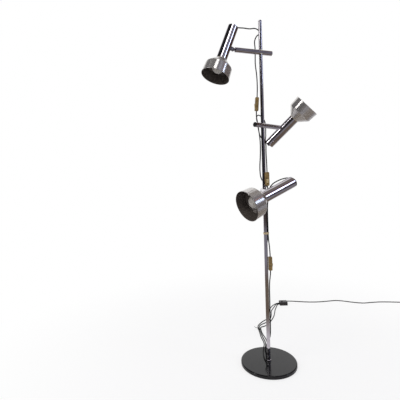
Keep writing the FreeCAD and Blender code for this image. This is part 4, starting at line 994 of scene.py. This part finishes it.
# On them, each with its middle's turn and height, half its width and height, its colour and
# strength: the ceiling in two parts, two pale panels, three windows and a curtain.
ROOM_PATCHES = [
    (-10, 80, 190, 12, CEILING, 1.0),
    (95, 60, 30, 13, CEILING, 1.0),
    (38, 38, 12, 12, PALE, 1.0),
    (56, 12, 16, 8, PALE, 1.0),
    (-68, 25, 7, 11, WHITE, 7.0),
    (-3, 53, 15, 6, WHITE, 5.0),
    (67, 21, 4, 7, DAYLIGHT, 8.0),
    (66, 35, 9, 5, CURTAIN, 1.0),
]
# The floor that chrome sees, by distance from the pole in metres.
BOARDS = [(0.0, LIT_BOARDS), (1.2, LIT_BOARDS), (1.8, RUG), (3.5, RUG), (4.3, FAR_BOARDS),
          (12.0, FAR_BOARDS)]


def ramp_over(tree, value, stops):
    """The colour at a value, between the stops given as (value, colour)."""
    low, high = stops[0][0], stops[-1][0]
    made = node(tree, "ShaderNodeValToRGB", {"Fac": spread(tree, value, low, high)})
    ramp = made.color_ramp
    while len(ramp.elements) < len(stops):
        ramp.elements.new(0.5)
    for stop, (at, tone) in zip(ramp.elements, stops):
        stop.position, stop.color = (at - low) / (high - low), colour(tone)
    return made.outputs["Color"]


def patched(tree, under, turn, rise, at, up, wide, high, tone, strength):
    """The colour under it, with one soft-edged patch of wall, window or ceiling painted on."""
    inside = []
    for angle, middle, half in ((turn, at, wide), (rise, up, high)):
        off = maths(tree, "ABSOLUTE", maths(tree, "SUBTRACT", angle, math.radians(middle)))
        inside.append(spread(tree, off, math.radians(half * 0.85), math.radians(half), 1.0, 0.0,
                             "SMOOTHSTEP"))
    share = maths(tree, "MULTIPLY", *inside)
    paint = [c * strength for c in colour(tone)[:3]] + [1.0]
    return node(tree, "ShaderNodeMix", {"Factor": share, "A": under, "B": paint},
                data_type="RGBA").outputs["Result"]


def floor_paint():
    """A pale floor that runs into the white sweep for the camera. Chrome also sees the room's
    brown boards, before and beside the sweep."""
    paint = bpy.data.materials.new("pale_floor")
    paint.use_nodes = True
    tree = paint.node_tree
    tree.nodes.clear()
    path = node(tree, "ShaderNodeLightPath").outputs
    where = node(tree, "ShaderNodeTexCoord").outputs["Object"]
    far = node(tree, "ShaderNodeVectorMath", {0: where}, operation="LENGTH").outputs["Value"]
    bright = spread(tree, far, 0.3, 1.6, 0.7, 1.0, "SMOOTHSTEP")
    matt = node(tree, "ShaderNodeBsdfDiffuse", {"Color": colour("#e6e5e4")})
    white = node(tree, "ShaderNodeEmission", {"Color": (1, 1, 1, 1), "Strength": 1.0})
    sweep = node(tree, "ShaderNodeMixShader", {
        0: maths(tree, "MULTIPLY", path["Is Camera Ray"], bright), 1: matt.outputs[0],
        2: white.outputs[0]})
    back = node(tree, "ShaderNodeSeparateXYZ", {"Vector": where}).outputs["Y"]
    before = spread(tree, back, 0.5, 1.8, 1.0, 0.0, "SMOOTHSTEP")
    beside = spread(tree, far, 0.2, 0.6, 0.0, before, "SMOOTHSTEP")
    boards = node(tree, "ShaderNodeEmission", {"Color": ramp_over(tree, far, BOARDS),
                                               "Strength": 1.0})
    both = node(tree, "ShaderNodeMixShader", {
        0: maths(tree, "MULTIPLY", path["Is Glossy Ray"], beside), 1: sweep.outputs[0],
        2: boards.outputs[0]})
    node(tree, "ShaderNodeOutputMaterial", {"Surface": both.outputs[0]})
    return paint


def surroundings():
    """White for the camera, a plain grey for diffuse light, and the room for metal."""
    world = bpy.data.worlds.new("studio")
    scene.world = world
    world.use_nodes = True
    tree = world.node_tree
    tree.nodes.clear()
    path = node(tree, "ShaderNodeLightPath").outputs
    way = node(tree, "ShaderNodeSeparateXYZ",
               {"Vector": node(tree, "ShaderNodeTexCoord").outputs["Generated"]}).outputs
    ahead = maths(tree, "MULTIPLY", way["Y"], -1.0)
    turn = maths(tree, "ARCTAN2", way["X"], ahead)
    rise = maths(tree, "ARCSINE", way["Z"])
    seen = ramp_over(tree, maths(tree, "DEGREES", turn), WALLS)
    for patch in ROOM_PATCHES:
        seen = patched(tree, seen, turn, rise, *patch)
    plain = node(tree, "ShaderNodeMix", {
        "Factor": path["Is Diffuse Ray"], "A": seen, "B": colour("#b9b8bc")}, data_type="RGBA")
    straight = maths(tree, "MAXIMUM", path["Is Camera Ray"], path["Is Transmission Ray"])
    lit = node(tree, "ShaderNodeBackground", {"Color": plain.outputs["Result"], "Strength": 1.0})
    backdrop = node(tree, "ShaderNodeBackground", {"Color": (1, 1, 1, 1), "Strength": 1.0})
    mixed = node(tree, "ShaderNodeMixShader", {0: straight, 1: lit.outputs[0],
                                               2: backdrop.outputs[0]})
    node(tree, "ShaderNodeOutputWorld", {"Surface": mixed.outputs[0]})


def soft_lamps():
    """Each with its place, what it aims at, its size in metres, its watts and its tone."""
    for name, at, aim, size, power, tone in (
            ("key", (-1.9, -1.5, 2.6), (0, 0, 0.9), (1.3, 1.3), 34, "#ffffff"),
            ("window", (2.8, -1.2, 2.1), (0, 0, 1.2), (0.9, 1.4), 18, "#eaf0ff"),
            ("top", (0.3, 0.9, 3.1), (0, 0, 0.8), (1.8, 1.8), 22, "#ffffff")):
        light = bpy.data.lights.new(name, "AREA")
        light.shape, light.size, light.size_y, light.energy = "RECTANGLE", *size, power
        light.color = colour(tone)[:3]
        lamp = added(name, light)
        lamp.location = at
        lamp.rotation_euler = (Vector(aim) - Vector(at)).to_track_quat("-Z", "Y").to_euler()
        lamp.visible_glossy = False


def photo_camera():
    eye = bpy.data.cameras.new("photo_camera")
    eye.sensor_width, eye.lens = 36.0, 30.72
    eye.shift_x, eye.shift_y = 0.0027, -0.0624
    eye.clip_start, eye.clip_end = 0.05, 60
    camera = added("photo_camera", eye)
    camera.matrix_world = (Matrix.Translation(CAMERA_AT) @
                           Matrix.Rotation(math.pi / 2, 4, "X") @
                           Matrix.Rotation(math.radians(CAMERA_ROLL), 4, "Z"))
    scene.camera = camera


def room():
    floor_mesh = bpy.data.meshes.new("floor")
    r = FLOOR_REACH
    floor_mesh.from_pydata([(-r, -r, 0), (r, -r, 0), (r, r, 0), (-r, r, 0)], [], [(0, 1, 2, 3)])
    floor_mesh.materials.append(floor_paint())
    added("floor", floor_mesh)
    surroundings()
    soft_lamps()
    photo_camera()
    scene.view_settings.view_transform = "Standard"


def cad_finishes():
    """The pieces that stay as the source made them get their finish too."""
    slots = {s["node"]: s["material_slot"] for s in frame["record"]["subparts"]}
    for name, piece in frame["nodes"].items():
        piece.data.materials.clear()
        piece.data.materials.append(FINISH[slots[name]])


cad_finishes()
foot_and_pole()
for number, lamp in LAMPS.items():
    cross_arm(number, lamp)
    joint_parts(number, lamp)
    grip_spring(number, lamp)
    spot_head(number, lamp)
for number in SWITCHES:
    rocker_switch(number)
head_cords()
cords_to_box()
mains_lead(frame["nodes"]["mains_plug"])
plug_ribs()
room()
